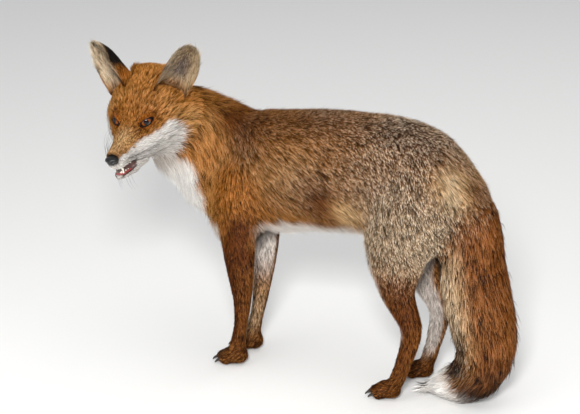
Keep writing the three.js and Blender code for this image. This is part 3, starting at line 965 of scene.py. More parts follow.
groomSettings = {
    "seed": 12,
    "tuftLength": (0.72, 0.4),  # least share, and how much chance adds
    "lockLength": (0.88, 0.24),
    "tuftHeight": (0.5, 0.5),
    "lockHeight": (0.8, 0.35),
    "tuftWidth": (0.75, 0.5),
    "steepest": 0.75,  # height of a tip at most, as a share of the length
    "strayHeight": 1.5,
    "sunk": 0.9,  # mm that a root lies below the skin
    "lockPull": 0.85,  # how far the tips of a lock draw together
    "lockTurn": 11,  # degrees
    "tuftTurn": 9,
    "strays": 0.035,  # share of tufts that stand off
    "roundness": 0.9,  # of the shading across a tuft
    "floorRoom": (0.0006, 0.0004),  # metres that tips and roots stay above the floor
    "patch": 0.0015,  # half the size of a tuft's place on the bake map
    "most": 185000,  # triangles in one piece
}

# Pieces of the coat: the parts they grow on and the finish they are named for.
coatPieces = {
    "coatFace": (("head", "lower_jaw"), "coat_rufous"),
    "coatEars": (("ear",), "coat_black"),
    "coatNeck": (("neck",), "coat_rufous"),
    "coatBody": (("trunk",), "coat_grizzled"),
    "coatShoulders": (("upper_arm",), "coat_rufous"),
    "coatThighs": (("thigh",), "coat_grizzled"),
    "coatLegs": (("forearm", "forepaw", "shank", "hindfoot"), "coat_brown"),
    "coatBrush": (("tail_base", "tail_middle"), "coat_grizzled"),
    "coatBrushTip": (("tail_tip",), "coat_white"),
}

# A tuft's points, each with its share of the length and its place in the tuft's patch of the bake
# map. Short tufts are plain spikes, and those of the brush have a bend.
tuftShapes = {
    "spike": {
        "faces": [[0, 1, 2], [1, 0, 3], [2, 1, 3], [0, 2, 3]],
        "rise": [0, 0, 0, 1],
        "patch": [[-1, -1], [1, -1], [0, -0.4], [0, 1]],
    },
    "bent": {
        "faces": [[0, 1, 2], [1, 0, 4], [4, 0, 3], [2, 1, 5], [5, 1, 4], [0, 2, 3], [3, 2, 5], [4, 3, 6],
                  [5, 4, 6], [3, 5, 6]],
        "rise": [0, 0, 0, 0.5, 0.5, 0.5, 1],
        "patch": [[-1, -1], [1, -1], [0, -1], [-0.6, 0.2], [0.6, 0.2], [0, 0.2], [0, 1]],
    },
}


def vary(settings, chance):
    return settings[0] + settings[1] * chance


def scatter(hide, density, rng):  # places on the skin: face and shares of its three corners
    tri = hide.faces
    a, b, c = (hide.points[tri[:, k]] for k in range(3))
    area = np.linalg.norm(np.cross(b - a, c - a), axis=1) / 2 / mm ** 2
    running = np.cumsum(area * density[tri].mean(1))
    count = int(running[-1])
    spots = (np.arange(count) + rng.random(count)) / count * running[-1]
    face = np.minimum(np.searchsorted(running, spots), len(tri) - 1)
    r, s = rng.random(count), rng.random(count)
    over = r + s > 1
    r, s = np.where(over, 1 - r, r), np.where(over, 1 - s, s)
    return face, np.stack([1 - r - s, r, s], -1)


def groom(hide):
    g = groomSettings
    rng = np.random.default_rng(g["seed"])
    coat = coatFields(hide)
    face, shares = scatter(hide, coat["density"], rng)
    left, ahead, up = headAxes((hide.points[hide.faces[face]] * shares[..., None]).sum(1))
    outside = (np.abs(left) > jawHalf(ahead) - 1) | (ahead < 16) | (ahead > 57) | (np.abs(up + 54.5) > 5)
    face, shares = face[outside], shares[outside]  # none inside the mouth
    corners = hide.faces[face]

    def at(values):
        values = np.asarray(values, float)
        picked = values[corners]
        return (picked * (shares if values.ndim == 1 else shares[..., None])).sum(1)

    root = at(hide.points)
    normal = unit(at(hide.normals))
    first, second, third = (hide.points[corners[:, k]] for k in range(3))
    flat = unit(np.cross(second - first, third - first))
    astray = (normal * flat).sum(1) < 0.35  # in the creases at the ears' feet
    normal[astray] = flat[astray]
    flow = at(hide.flow)
    flow = unit(flow - (flow * normal).sum(1, keepdims=True) * normal)
    count = len(root)
    lockFace, lockShares = scatter(hide, (coat["density"] > 0.05) / np.maximum(coat["lock"], 1) ** 2, rng)
    lockRoot = (hide.points[hide.faces[lockFace]] * lockShares[..., None]).sum(1)
    tree = KDTree(len(lockRoot))
    for i, place in enumerate(lockRoot):
        tree.insert(place, i)
    tree.balance()
    lock = np.array([tree.find(place)[1] for place in root])
    lockChance = rng.random((len(lockRoot), 3))[lock]
    chance = rng.random((count, 4))

    length = (at(coat["length"]) * vary(g["tuftLength"], chance[:, 0])
              * vary(g["lockLength"], lockChance[:, 0]))
    height = (at(coat["height"]) * vary(g["tuftHeight"], chance[:, 1])
              * vary(g["lockHeight"], lockChance[:, 1]))
    height *= np.where(chance[:, 3] < g["strays"], g["strayHeight"], 1)
    height = np.minimum(height, g["steepest"] * length)
    turn = np.radians(g["lockTurn"] * (2 * lockChance[:, 2] - 1) + g["tuftTurn"] * (2 * chance[:, 2] - 1))
    side = np.cross(normal, flow)
    way = np.cos(turn)[:, None] * flow + np.sin(turn)[:, None] * side
    run = np.sqrt(length ** 2 - height ** 2)
    drop = 0.5 * at(hide.curve) * (run * mm) ** 2 / mm
    drop = np.clip(drop, -0.35 * length, 0.6 * length)
    offset = root - lockRoot[lock]
    offset -= (offset * normal).sum(1, keepdims=True) * normal
    tip = root + way * (run * mm)[:, None] + normal * ((height - drop) * mm)[:, None]
    tip -= g["lockPull"] * offset
    middle = root + way * (0.45 * run * mm)[:, None] - 0.25 * g["lockPull"] * offset
    middle += normal * ((0.75 * height - 0.3 * drop) * mm)[:, None]
    tipFloor, rootFloor = g["floorRoom"]
    for ends in (tip, middle):
        ends[:, 2] = np.maximum(ends[:, 2], tipFloor)
    base = root - normal * (np.minimum(g["sunk"], 0.12 * length) * mm)[:, None]
    base[:, 2] = np.maximum(base[:, 2], rootFloor)
    width = at(coat["width"]) * vary(g["tuftWidth"], rng.random(count)) * mm
    ahead = unit(tip - root)
    across = unit(np.cross(ahead, normal))
    upward = np.cross(across, ahead)
    tones = {name: at(value) for name, value in hide.tones.items()}
    pick = smoothStep(0.12, 0.88, 0.72 * lockChance[:, 0] + 0.28 * rng.random(count))
    pick += 0.22 * at(hide.head) * (0.5 - pick)
    pick += at(hide.tones["white"]) * (0.7 + 0.4 * (pick - 0.5) - pick)
    uv = (hide.uv[face] * shares[..., None]).sum(1)
    owner = hide.owner[hide.faces[face, 0]]
    print("coat laid out:", count, "tufts in", len(lockRoot), "locks")

    pieces = []
    for name, (kinds, slot) in coatPieces.items():
        shape = tuftShapes["bent" if kinds[0].startswith("tail") else "spike"]
        rows = np.nonzero(np.isin(owner, [hide.kinds.index(kind) for kind in kinds]))[0]
        rows = rows[np.argsort(root[rows, 0 if name == "coatThighs" else 1], kind="stable")]
        parcels = max(1, math.ceil(len(rows) * len(shape["faces"]) / g["most"]))
        for k, part in enumerate(np.array_split(rows, parcels)):
            half = width[part, None] / 2
            rings = [base[part] - across[part] * half, base[part] + across[part] * half,
                     base[part] + upward[part] * half * 1.2]
            outward = unit(normal[part] * 0.35 + upward[part] * 0.65)
            soft = g["roundness"] * across[part]
            leans = [unit(outward - soft), unit(outward + soft), outward]
            if shape is tuftShapes["bent"]:
                rings += [middle[part] - across[part] * half * 0.8,
                          middle[part] + across[part] * half * 0.8, middle[part] + upward[part] * half]
                leans += leans
            piece = joinTufts(name if parcels == 1 else name + str(k + 1), shape,
                              np.stack([*rings, tip[part]], 1), np.stack([*leans, outward], 1), uv[part])
            size = len(shape["rise"])
            storeValues(piece.data, "along", np.tile(shape["rise"], (len(part), 1)))
            storeValues(piece.data, "pick", np.repeat(pick[part], size))
            storeMarks(piece.data, {tone: np.repeat(value[part], size) for tone, value in tones.items()})
            pieces.append((piece, slot))
    return pieces


def joinTufts(name, shape, spots, leans, uv):
    count, size = spots.shape[:2]
    faces = (np.array(shape["faces"])[None] + (np.arange(count) * size)[:, None, None]).reshape(-1, 3)
    mesh = bpy.data.meshes.new(name)
    mesh.vertices.add(count * size)
    mesh.vertices.foreach_set("co", spots.reshape(-1).astype(np.float32))
    mesh.loops.add(faces.size)
    mesh.loops.foreach_set("vertex_index", faces.ravel().astype(np.int32))
    mesh.polygons.add(len(faces))
    mesh.polygons.foreach_set("loop_start", np.arange(0, faces.size, 3, dtype=np.int32))
    mesh.update(calc_edges=True)
    storeValues(mesh, "custom_normal", leans, "FLOAT_VECTOR")
    layer = mesh.uv_layers.new(name="OFBake")
    places = uv[:, None] + np.array(shape["patch"])[None] * groomSettings["patch"]
    layer.data.foreach_set("uv", places.reshape(-1, 2)[faces.ravel()].reshape(-1).astype(np.float32))
    return addObject(name, mesh)


def unwrapSkin(skin):
    skin.data.uv_layers.new(name="OFBake")
    editWhole(skin, bpy.ops.uv.smart_project, angle_limit=math.radians(66), island_margin=0.002)


def readHide(skin):
    hide = Hide(skin)
    mesh = skin.data
    faces = np.empty(len(mesh.loops), np.int32)
    mesh.loops.foreach_get("vertex_index", faces)
    hide.faces = faces.reshape(-1, 3)
    uv = np.empty(len(mesh.loops) * 2, np.float32)
    mesh.uv_layers["OFBake"].data.foreach_get("uv", uv)
    hide.uv = uv.reshape(-1, 3, 2).astype(float)
    hide.tones = markings(hide)
    hide.curve = curveAlong(hide, hide.flow)
    storeMarks(mesh, hide.tones)
    # The hide's colour is read near the hair's dark root: partly painted shade between the tufts.
    storeValues(mesh, "along", np.full(len(hide.points), 0.3))
    storeValues(mesh, "pick", np.clip(0.5 + 0.2 * hide.blotches(8, 1), 0, 1))
    return hide


# Colours and materials.

def linear(hexColour):
    parts = [int(hexColour[i:i + 2], 16) / 255 for i in (1, 3, 5)]
    return [*(c / 12.92 if c <= 0.04045 else ((c + 0.055) / 1.055) ** 2.4 for c in parts), 1.0]


def addNode(tree, kind, settings=(), links=()):
    node = tree.nodes.new("ShaderNode" + kind)
    for key, value in dict(settings).items():
        if isinstance(key, str) and hasattr(node, key):
            setattr(node, key, value)
        else:
            node.inputs[key].default_value = value
    for key, source in dict(links).items():
        tree.links.new(source, node.inputs[key])
    return node


def fillRamp(node, stops):  # each stop's place and colour
    for i, (place, hexColour) in enumerate(stops):
        stop = node.color_ramp.elements[i] if i < 2 else node.color_ramp.elements.new(place)
        stop.position = place
        stop.color = linear(hexColour)


def makeMaterial(name, look):  # look gives the settings and the links of the surface
    material = bpy.data.materials.new(name)
    material.use_nodes = True
    tree = material.node_tree
    tree.nodes.clear()
    shader = addNode(tree, "BsdfPrincipled", *look(tree))
    addNode(tree, "OutputMaterial", (), {"Surface": shader.outputs["BSDF"]})
    return material


def mottled(tree, place, scale, hexColour, otherColour):  # soft patches of two colours
    patches = addNode(tree, "TexNoise", {"Scale": scale, "Detail": 2}, {"Vector": place})
    mix = addNode(tree, "Mix", {"data_type": "RGBA", 6: linear(hexColour), 7: linear(otherColour)},
                  {0: patches.outputs["Fac"]})
    return mix.outputs[2]


# Each tone of hair from its root to its tip: place along the hair and colour. The dark roots are partly the
# hair's own darker base and partly painted shade in the gaps between the locks.
hairTones = {
    "rufous": ((0, "#2b1506"), (0.45, "#653914"), (0.8, "#a66c2c"), (1, "#be8746")),
    "buff": ((0, "#4a3018"), (0.45, "#966636"), (0.8, "#d0a468"), (1, "#dfbd8c")),
    "orange": ((0, "#3d1c05"), (0.45, "#824714"), (0.8, "#b36f2f"), (1, "#c98e4e")),
    "brown": ((0, "#170a03"), (0.45, "#391a05"), (0.8, "#68360e"), (1, "#804916")),
    "grizzle": ((0, "#170b05"), (0.55, "#341a09"), (0.76, "#5e3618"), (0.84, "#d6bc9a"), (0.95, "#eedfca"),
                (1, "#2e190b")),
    "cream": ((0, "#53402d"), (0.45, "#9d8261"), (0.8, "#d4bf9d"), (1, "#e0cfb2")),
    "white": ((0, "#6b645e"), (0.35, "#b0aaa3"), (0.8, "#dedad4"), (1, "#e4e0da")),
    "grey": ((0, "#2c2826"), (0.4, "#55504b"), (0.8, "#8b847d"), (1, "#6f6862")),
    "black": ((0, "#0c0a09"), (0.5, "#151210"), (1, "#221b16")),
}


def hairColour(tree):  # the markings' colour, the same for the skin and the coat
    marks = {}
    for title, four in markSets.items():
        read = addNode(tree, "Attribute", {"attribute_name": title})
        split = addNode(tree, "SeparateColor", (), {"Color": read.outputs["Color"]})
        for tone, socket in zip(four, [*split.outputs, read.outputs["Alpha"]]):
            marks[tone] = socket
    along = addNode(tree, "Attribute", {"attribute_name": "along"}).outputs["Fac"]
    pick = addNode(tree, "Attribute", {"attribute_name": "pick"}).outputs["Fac"]
    shift = addNode(tree, "MapRange", {"To Min": -0.13, "To Max": 0.13}, {"Value": pick})
    banded = addNode(tree, "Math", {"operation": "ADD", "use_clamp": True},
                     {0: along, 1: shift.outputs["Result"]})
    colour = None
    for tone, stops in hairTones.items():
        ramp = addNode(tree, "ValToRGB", (), {"Fac": banded.outputs[0] if tone == "grizzle" else along})
        fillRamp(ramp, stops)
        if colour is None:
            colour = ramp.outputs["Color"]
            continue
        mix = addNode(tree, "Mix", {"data_type": "RGBA"},
                      {0: marks[tone], 6: colour, 7: ramp.outputs["Color"]})
        colour = mix.outputs[2]
    shade = addNode(tree, "MapRange", {"To Min": 0.02, "To Max": 1.6}, {"Value": pick})
    strength = addNode(tree, "MapRange", {"To Min": 1.12, "To Max": 0.96}, {"Value": pick})
    varied = addNode(tree, "HueSaturation", (), {"Value": shade.outputs["Result"], "Color": colour,
                                                 "Saturation": strength.outputs["Result"]})
    return varied.outputs["Color"]


# Guard hair: dry, slightly waxy, each hair lighter and darker in bands along its length; the dark roots are
# partly painted shade between the locks.
def guardHair(tree):
    return {"Roughness": 0.6, "Specular IOR Level": 0.12}, {"Base Color": hairColour(tree)}


# Hide under the coat: matt short underfur, uneven at under a millimetre; it takes the hair's colour near
# the dark root, partly as painted shade where it shows between the tufts.
def furredHide(tree):
    colour = hairColour(tree)
    place = addNode(tree, "TexCoord").outputs["Object"]
    nap = addNode(tree, "TexNoise", {"Scale": 900, "Detail": 3}, {"Vector": place})
    bump = addNode(tree, "Bump", {"Strength": 0.5, "Distance": 0.0006}, {"Height": nap.outputs["Fac"]})
    return ({"Roughness": 0.8, "Specular IOR Level": 0.08},
            {"Base Color": colour, "Normal": bump.outputs["Normal"]})


def drawnAlong(path, radii, flat=1.0, upright=(0, 0, 1)):  # a tube along a path in mm
    path = np.array(path, float)
    radii = np.array(radii, float)

    def shape(t, c, s, ball):
        steps = np.linspace(0, 1, len(path))
        fine = np.linspace(0, 1, 60)
        smooth = np.stack([np.interp(fine, steps, path[:, k]) for k in range(3)], -1)
        for _ in range(5):
            smooth[1:-1] = (smooth[:-2] + 2 * smooth[1:-1] + smooth[2:]) / 4
        ways = unit(np.gradient(smooth, axis=0))
        centre = np.stack([np.interp(t, fine, smooth[:, k]) for k in range(3)], -1)
        way = unit(np.stack([np.interp(t, fine, ways[:, k]) for k in range(3)], -1))
        side = unit(np.cross(way, np.array(upright, float)))
        over = np.cross(side, way)
        radius = np.interp(t, steps, radii) * np.sqrt(np.clip(1 - (2 * t - 1) ** 16, 0, 1))
        return centre + side * (c * radius)[:, None] + over * (s * radius * flat)[:, None]
    return shape


def onFace(shape):  # from the head's millimetres to the frame
    return lambda t, c, s, ball: fromHead(*shape(t, c, s, ball).T)


def onBody(shape):
    return lambda t, c, s, ball: shape(t, c, s, ball) * mm + bodyOrigin


def makeEye(name, sign):
    e = eyeSettings
    centre, across, over, gaze = eyeAxes(sign)

    def shape(t, c, s, ball):
        depth = ball[:, 2] * e["radius"] + e["front"] - e["radius"]
        depth += 0.35 * smoothStep(0.82, 0.97, ball[:, 2])  # the cornea
        flat = ball[:, :2] * e["radius"]
        points = centre + np.outer(flat[:, 0], across) + np.outer(flat[:, 1], over) + np.outer(depth, gaze)
        return fromHead(*points.T)
    eye = shapedBall(name, 48, 48, shape)
    head = headAxes(readPoints(eye.data)).T - centre
    storeValues(eye.data, "across", head @ across)
    storeValues(eye.data, "over", head @ over)
    return eye


def makeEyeRim(name, sign):
    e = eyeSettings
    centre, across, over, gaze = eyeAxes(sign)
    bpy.ops.object.select_all(action="DESELECT")
    bpy.ops.mesh.primitive_torus_add(major_segments=72, minor_segments=10, major_radius=1,
                                     minor_radius=0.2)
    rim = bpy.context.object
    rim.name = name
    points = readPoints(rim.data)
    turn = np.arctan2(points[:, 1], points[:, 0])
    ring = np.hypot(points[:, 0], points[:, 1])
    c, s = (ring - 1) / 0.2, points[:, 2] / 0.2
    a = np.where(np.cos(turn) > 0, e["outer"], e["inner"] + 1.6) * np.cos(turn)
    o = np.sign(np.sin(turn)) * np.where(np.sin(turn) > 0, e["upper"], e["lower"])
    o = o * np.abs(np.sin(turn)) ** 1.15
    tube = 0.75 + 0.35 * smoothStep(0.5, 1, -np.cos(turn))
    grow = 1 + c * tube / 7
    a, o = a * grow, o * grow + c * tube * 0.35 * np.sign(o)
    depth = lidSurface(a, o) - 0.5 + 0.55 * s * tube
    place = centre + np.outer(a, across) + np.outer(o, over) + np.outer(depth, gaze)
    writePoints(rim.data, fromHead(*place.T))
    editWhole(rim, bpy.ops.mesh.normals_make_consistent, inside=False)
    bpy.ops.object.shade_smooth()
    return rim


noseSettings = {"centre": (0, 67.2, -33.4), "radii": (10.2, 9.2, 7.6), "nostril": 5.2}


def makeNose():
    n = noseSettings

    def shape(t, c, s, ball):
        left, ahead, up = ball[:, 0], ball[:, 1], ball[:, 2]
        low = smoothStep(0.2, -1, up)
        wide = left * (1 - 0.3 * low)
        ahead = ahead * (1 - 0.12 * low) * np.where(ahead > 0, 1, 0.75)
        up = up - 0.2 * smoothStep(0, 1, up) * up  # flat on top
        points = np.stack([wide, ahead, up], -1) * n["radii"]
        side = np.abs(points[:, 0])
        front = smoothStep(0.1, 0.6, ball[:, 1])
        hole = hill(side, n["nostril"], 2.1) * hill(points[:, 2], -0.6 + 0.25 * (side - 5), 2.0)
        slit = hill(side, 8.4, 2.2) * hill(points[:, 2], -3.0, 1.1)
        points[:, 1] -= front * (3.6 * hole + 2.4 * slit)
        points[:, 1] -= 1.1 * front * hill(points[:, 0], 0, 0.8) * smoothStep(2, -2, points[:, 2])
        return points + n["centre"]
    return shapedBall("nose", 72, 56, onFace(shape))


teethSettings = {
    # left, ahead, up of the root, length, half-width and half-depth, all in mm
    "upper": ((7.4, 56.2, -46, -9.5, 1.5, 1.9), (1.0, 60.4, -46, -4.0, 0.9, 0.8),
              (2.9, 60.0, -46, -4.1, 0.95, 0.8), (4.8, 58.8, -46, -4.4, 1.0, 0.9),
              (9.2, 49.5, -45.8, -4.4, 1.0, 2.0), (10.3, 43.5, -45.6, -5.0, 1.1, 2.4),
              (11.2, 37.0, -45.4, -5.8, 1.3, 2.8)),
    "lower": ((5.9, 51.6, -59.6, 8.4, 1.45, 1.7), (0.85, 54.6, -59.4, 4.4, 0.8, 0.8),
              (2.5, 54.3, -59.4, 4.5, 0.8, 0.8), (4.1, 53.4, -59.5, 4.7, 0.85, 0.85),
              (7.3, 46.5, -59.2, 3.8, 0.9, 1.8), (8.4, 41.0, -58.8, 4.4, 1.0, 2.2),
              (9.5, 35.0, -58.2, 5.0, 1.2, 2.7)),
}


def toothShape(left, ahead, up, length, wide, deep):
    def shape(t, c, s, ball):
        blunt = 3.2 if abs(length) < 5 and deep < 1 else 1.3  # front teeth end square
        taper = np.minimum(np.sqrt(np.clip(t / 0.2, 0, 1)), np.sqrt(1 - t ** blunt))
        curve = -0.16 * abs(length) * t ** 2
        return np.stack([left + c * wide * taper, ahead + s * deep * taper + curve,
                         up + length * (t - 0.12)], -1)
    return shape


def makeTeeth():
    return joined("teeth", [
        shapedBall("tooth", 12, 12, onFace(toothShape(sign * left, *rest)))
        for row in teethSettings.values() for left, *rest in row for sign in (1, -1)])


def makeGums():
    upper = [(11.6, 30, -45), (10.8, 42, -45), (8.6, 52, -45), (5.6, 58, -45), (0, 60, -45)]
    lower = [(10.6, 28, -58.6), (8.8, 40, -59.6), (6.6, 49, -60.2), (3.6, 53.4, -60.4), (0, 54.3, -60.4)]
    gums = []
    for half in (upper, lower):
        arch = [(-left, ahead, up) for left, ahead, up in half[:-1]] + half[::-1]
        gums.append(shapedBall("gum", 14, 60, onFace(drawnAlong(arch, [2.1] * 9, 1.15))))
    tongue = [(0, 14, -60), (0, 26, -61), (0, 38, -62), (0, 47, -62.6), (0, 52.5, -63)]
    body = drawnAlong(tongue, [7, 8.2, 7.8, 6.4, 3.4], 0.3)

    def grooved(t, c, s, ball):
        points = body(t, c, s, ball)
        points[:, 2] -= 0.8 * hill(points[:, 0], 0, 1.6) * (s > 0)
        return points
    gums.append(shapedBall("tongue", 28, 40, onFace(grooved)))
    return joined("gums", gums)


whiskerSettings = {
    "seed": 5,
    "muzzle": ((15.2, 56, -37), (16.2, 51, -36), (17.4, 46, -34), (14.6, 58, -41), (16.0, 52.5, -40.5),
               (17.6, 47, -39), (18.6, 42, -36.5), (16.2, 53, -44.5), (18.0, 46, -43.5), (19.0, 40, -41)),
    "chin": ((8, 44, -66), (9.5, 38, -66.5), (6.5, 49, -65.5)),
    "brow": ((20, 4, 9), (23, 1, 10.5)),
    "radii": (0.22, 0.187, 0.143, 0.0924, 0.044),  # from root to tip
    "shares": (0, 0.25, 0.5, 0.75, 1),
}


def makeWhiskers():
    w = whiskerSettings
    rng = np.random.default_rng(w["seed"])
    radii = np.array(w["radii"])
    hairs = []

    def grow(path, share, *upright):
        hairs.append(shapedBall("whisker", 5, 16, onFace(drawnAlong(path, radii * share, 1, *upright))))
    for i, (left, ahead, up) in enumerate(w["muzzle"]):
        for sign in (1, -1):
            reach = 62 + 30 * rng.random()
            out = 0.3 + 0.22 * rng.random()
            lift = 0.2 - 0.07 * (i % 5) + 0.1 * rng.random()
            root = np.array([left - 0.8, ahead, up])
            way = unit(np.array([out, -0.92, lift]))
            bow = np.array([8, 0, -3 + 3 * rng.random()])
            grow([(root + way * reach * t + bow * 4 * t * (1 - t)) * [sign, 1, 1] for t in w["shares"]], 1)
    for left, ahead, up in w["chin"]:
        for sign in (1, -1):
            drop = 22 + 8 * rng.random()
            grow([(sign * (left + 2.5 * t), ahead - 9 * t * t, up - drop * t) for t in w["shares"]],
                 0.8, (0, 1, 0))
    for left, ahead, up in w["brow"]:
        for sign in (1, -1):
            grow([(sign * (left + 9 * t), ahead - 6 * t, up + 26 * t - 5 * t * t) for t in w["shares"]],
                 0.7, (0, 1, 0))
    return joined("whiskers", hairs)


# Middle of each paw, its length and the spacing of its toes, as the solids have them.
pawPlaces = ((28, -82, 52, 19), (-34, -86, 52, 19), (49, 180, 50, 17.5), (-42, 196, 50, 17.5))
clawRadii = (1.5, 1.7, 1.45, 0.9, 0.25)


def makeClaws():
    claws = []
    for x, y, length, wide in pawPlaces:
        for toe in (-1.5, -0.5, 0.5, 1.5):
            outer = abs(toe) > 1
            front = y - (0.16 if outer else 0.32) * length - 0.22 * length
            middle = x + 0.5 * toe * wide
            path = [(middle, front + 5.5, 8.5), (middle, front + 2, 8.2), (middle, front - 1.5, 6.6),
                    (middle, front - 4.6, 3.6), (middle, front - 6.0, 1.4)]
            claws.append(shapedBall("claw", 10, 14, onBody(drawnAlong(path, clawRadii, 1.25))))
    return joined("claws", claws)


# From the middle of the iris to its rim.
irisRing = ((0.4, "#4c2007"), (0.66, "#934c17"), (0.8, "#58290d"), (0.88, "#140a06"))


# Wet amber eye: a dark ring, fine streaks in the iris and an upright pupil under clear cornea.
def wetEye(tree):
    across = addNode(tree, "Attribute", {"attribute_name": "across"}).outputs["Fac"]
    over = addNode(tree, "Attribute", {"attribute_name": "over"}).outputs["Fac"]
    flat = addNode(tree, "CombineXYZ", (), {"X": across, "Y": over})
    far = addNode(tree, "VectorMath", {"operation": "LENGTH"}, {0: flat.outputs[0]})
    narrow = addNode(tree, "VectorMath", {"operation": "MULTIPLY", 1: (1.25, 1.0, 1.0)},
                     {0: flat.outputs[0]})
    pupil = addNode(tree, "VectorMath", {"operation": "LENGTH"}, {0: narrow.outputs[0]})
    angle = addNode(tree, "Math", {"operation": "ARCTAN2"}, {0: over, 1: across})
    streaks = addNode(tree, "TexNoise", {"noise_dimensions": "2D", "Scale": 1.0, "Detail": 3},
                      {"Vector": addNode(tree, "CombineXYZ", (), {
                          "X": addNode(tree, "Math", {"operation": "MULTIPLY", 1: 9.0},
                                       {0: angle.outputs[0]}).outputs[0],
                          "Y": addNode(tree, "Math", {"operation": "MULTIPLY", 1: 0.4},
                                       {0: far.outputs["Value"]}).outputs[0]}).outputs[0]})
    ring = addNode(tree, "ValToRGB", (), {"Fac": addNode(
        tree, "Math", {"operation": "DIVIDE", 1: 9.0}, {0: far.outputs["Value"]}).outputs[0]})
    fillRamp(ring, irisRing)
    light = addNode(tree, "MapRange", {"To Min": 0.55, "To Max": 1.35}, {"Value": streaks.outputs["Fac"]})
    iris = addNode(tree, "HueSaturation", (), {"Value": light.outputs["Result"],
                                               "Color": ring.outputs["Color"]})
    inPupil = addNode(tree, "MapRange", {"From Min": 4.1, "From Max": 4.5},
                      {"Value": pupil.outputs["Value"]})
    colour = addNode(tree, "Mix", {"data_type": "RGBA", 6: linear("#050404")},
                     {0: inPupil.outputs["Result"], 7: iris.outputs["Color"]})
    return ({"Roughness": 0.6, "Specular IOR Level": 0.0, "Coat Weight": 0.6, "Coat Roughness": 0.03},
            {"Base Color": colour.outputs[2]})


def wetSkin(name, hexColour, otherColour, grain, depth, roughness, coat):  # moist bare skin
    def look(tree):
        place = addNode(tree, "TexCoord").outputs["Object"]
        cells = addNode(tree, "TexVoronoi", {"Scale": 1 / grain}, {"Vector": place})
        colour = mottled(tree, place, 160, hexColour, otherColour)
        bump = addNode(tree, "Bump", {"Strength": 0.7, "Distance": depth, "invert": True},
                       {"Height": cells.outputs["Distance"]})
        return ({"Roughness": roughness, "Coat Weight": coat, "Coat Roughness": 0.2},
                {"Base Color": colour, "Normal": bump.outputs["Normal"]})
    return makeMaterial(name, look)


def horn(name, hexColour, otherColour, roughness):  # enamel, claw and whisker: smooth and mottled
    def look(tree):
        place = addNode(tree, "TexCoord").outputs["Object"]
        return {"Roughness": roughness}, {"Base Color": mottled(tree, place, 420, hexColour, otherColour)}
    return makeMaterial(name, look)


def finish(piece, material, slot, *replaced):
    piece.data.materials.clear()
    piece.data.materials.append(material)
    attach(piece, "root")
    if replaced:
        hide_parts(*replaced)


skin = joinFlesh()
print("skin joined:", len(skin.data.vertices), "points")
skin = dropCrumbs(skin)
drawIn(skin)
carveCups(skin)
uniteEars(skin, [makeEar("earLeft", 1), makeEar("earRight", -1)])
sculptHead(skin)
applyModifier(skin, "TRIANGULATE")
print("skin shaped:", len(skin.data.polygons), "triangles")
unwrapSkin(skin)
print("skin unwrapped")
hide = readHide(skin)
print("markings laid")
coat = groom(hide)
hair = makeMaterial("foxGuardHair", guardHair)
for piece, slot in coat:
    finish(piece, hair, slot)
finish(skin, makeMaterial("foxHide", furredHide), "coat_rufous", *fleshNodes)
# Lining of the mouth: dark wet skin, darkened further as painted shade inside the mouth.
skin.data.materials.append(wetSkin("shadedMouthLining", "#2c1816", "#5f3f3a", 0.002, 0.0001, 0.45, 0.2))
lined = (hide.mouth[hide.faces].mean(1) > 0.45).astype(np.int32)
skin.data.polygons.foreach_set("material_index", lined)
selectOnly(skin)
bpy.ops.object.shade_smooth()
print("coat made:", sum(len(piece.data.polygons) for piece, slot in coat), "triangles in",
      len(coat), "pieces")


eyeMaterial = makeMaterial("wetAmberEye", wetEye)
rimMaterial = wetSkin("blackLidSkin", "#0b0908", "#171210", 0.0012, 0.0001, 0.4, 0.4)
for side, sign in (("left", 1), ("right", -1)):
    finish(makeEye("eye_" + side + "_ball", sign), eyeMaterial, "eye", "eye_" + side)
    finish(makeEyeRim("eye_" + side + "_rim", sign), rimMaterial, "nose_leather")
# Nose leather: pebbled bare skin, black, kept damp.
finish(makeNose(), wetSkin("dampNoseLeather", "#080707", "#11100f", 0.0013, 0.00028, 0.5, 0.22),
       "nose_leather", "nose")
# Gums and tongue: wet pink flesh.
finish(makeGums(), wetSkin("wetGum", "#9a4844", "#6a2a2b", 0.0016, 0.0001, 0.38, 0.3), "gum")
finish(makeTeeth(), horn("toothEnamel", "#f2ece0", "#e2d8c4", 0.25), "tooth")
finish(makeWhiskers(), horn("whiskerHair", "#120f0d", "#2b241f", 0.45), "whisker")
finish(makeClaws(), horn("clawHorn", "#1d1713", "#3b3029", 0.35), "claw")
print("small pieces made")


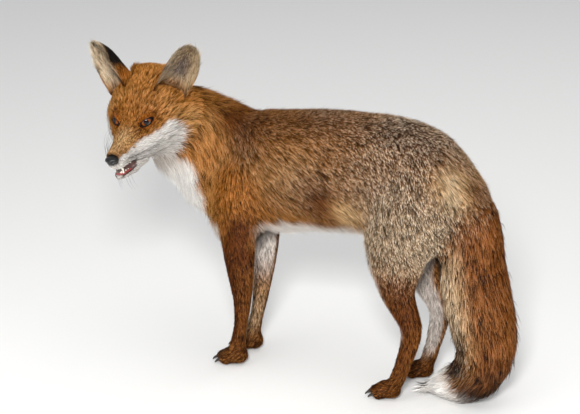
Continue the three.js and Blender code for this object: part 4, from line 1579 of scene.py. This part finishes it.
# Floor, light and camera.

bpy.ops.object.select_all(action="DESELECT")
bpy.ops.mesh.primitive_plane_add(size=24)
floor = bpy.context.object
floor.name = "floor"
floor.data.materials.append(makeMaterial("paintedFloor", lambda tree: (
    {"Base Color": linear("#efeeeb"), "Roughness": 0.7}, ())))

viewSettings = {
    "azimuth": 115,  # degrees round from the head end towards the left side
    "elevation": 19,
    "distance": 3.0,
    "height": 0.256,  # of the point looked at, over the body's own origin
    "lens": 125.0,
    "sensor": 36,
}


def aim(thing, place, target):
    thing.location = place
    thing.rotation_euler = (Vector(place) - Vector(target)).to_track_quat("Z", "Y").to_euler()


def around(azimuth, elevation, distance):
    a, e = math.radians(azimuth), math.radians(elevation)
    return Vector((math.sin(a) * math.cos(e), -math.cos(a) * math.cos(e), math.sin(e))) * distance


middle = Vector(bodyOrigin) + Vector((0, 0, viewSettings["height"]))
camera = addObject("camera", bpy.data.cameras.new("camera"))
camera.data.lens = viewSettings["lens"]
camera.data.sensor_width = viewSettings["sensor"]
aim(camera, middle + around(viewSettings["azimuth"], viewSettings["elevation"],
                            viewSettings["distance"]), middle)
bpy.context.scene.camera = camera

lampSettings = {  # azimuth, elevation, distance, size in metres and power in watts
    "keyLamp": (112, 27, 2.9, 0.45, 86),
    "fillLamp": (60, 25, 3.0, 1.8, 6),
    "backLamp": (250, 45, 3.0, 1.6, 10),
    "topLamp": (115, 80, 3.6, 3.0, 42),
}
for name, (azimuth, elevation, distance, size, power) in lampSettings.items():
    lamp = addObject(name, bpy.data.lights.new(name, "AREA"))
    lamp.data.size = size
    lamp.data.energy = power
    lamp.visible_glossy = name == "keyLamp"  # one clean highlight in the eyes
    aim(lamp, middle + around(azimuth, elevation, distance), middle)
world = bpy.data.worlds.new("studio")
bpy.context.scene.world = world
world.use_nodes = True
world.node_tree.nodes["Background"].inputs["Color"].default_value = linear("#e4e6ea")
world.node_tree.nodes["Background"].inputs["Strength"].default_value = 0.55
bpy.context.scene.view_settings.view_transform = "Standard"
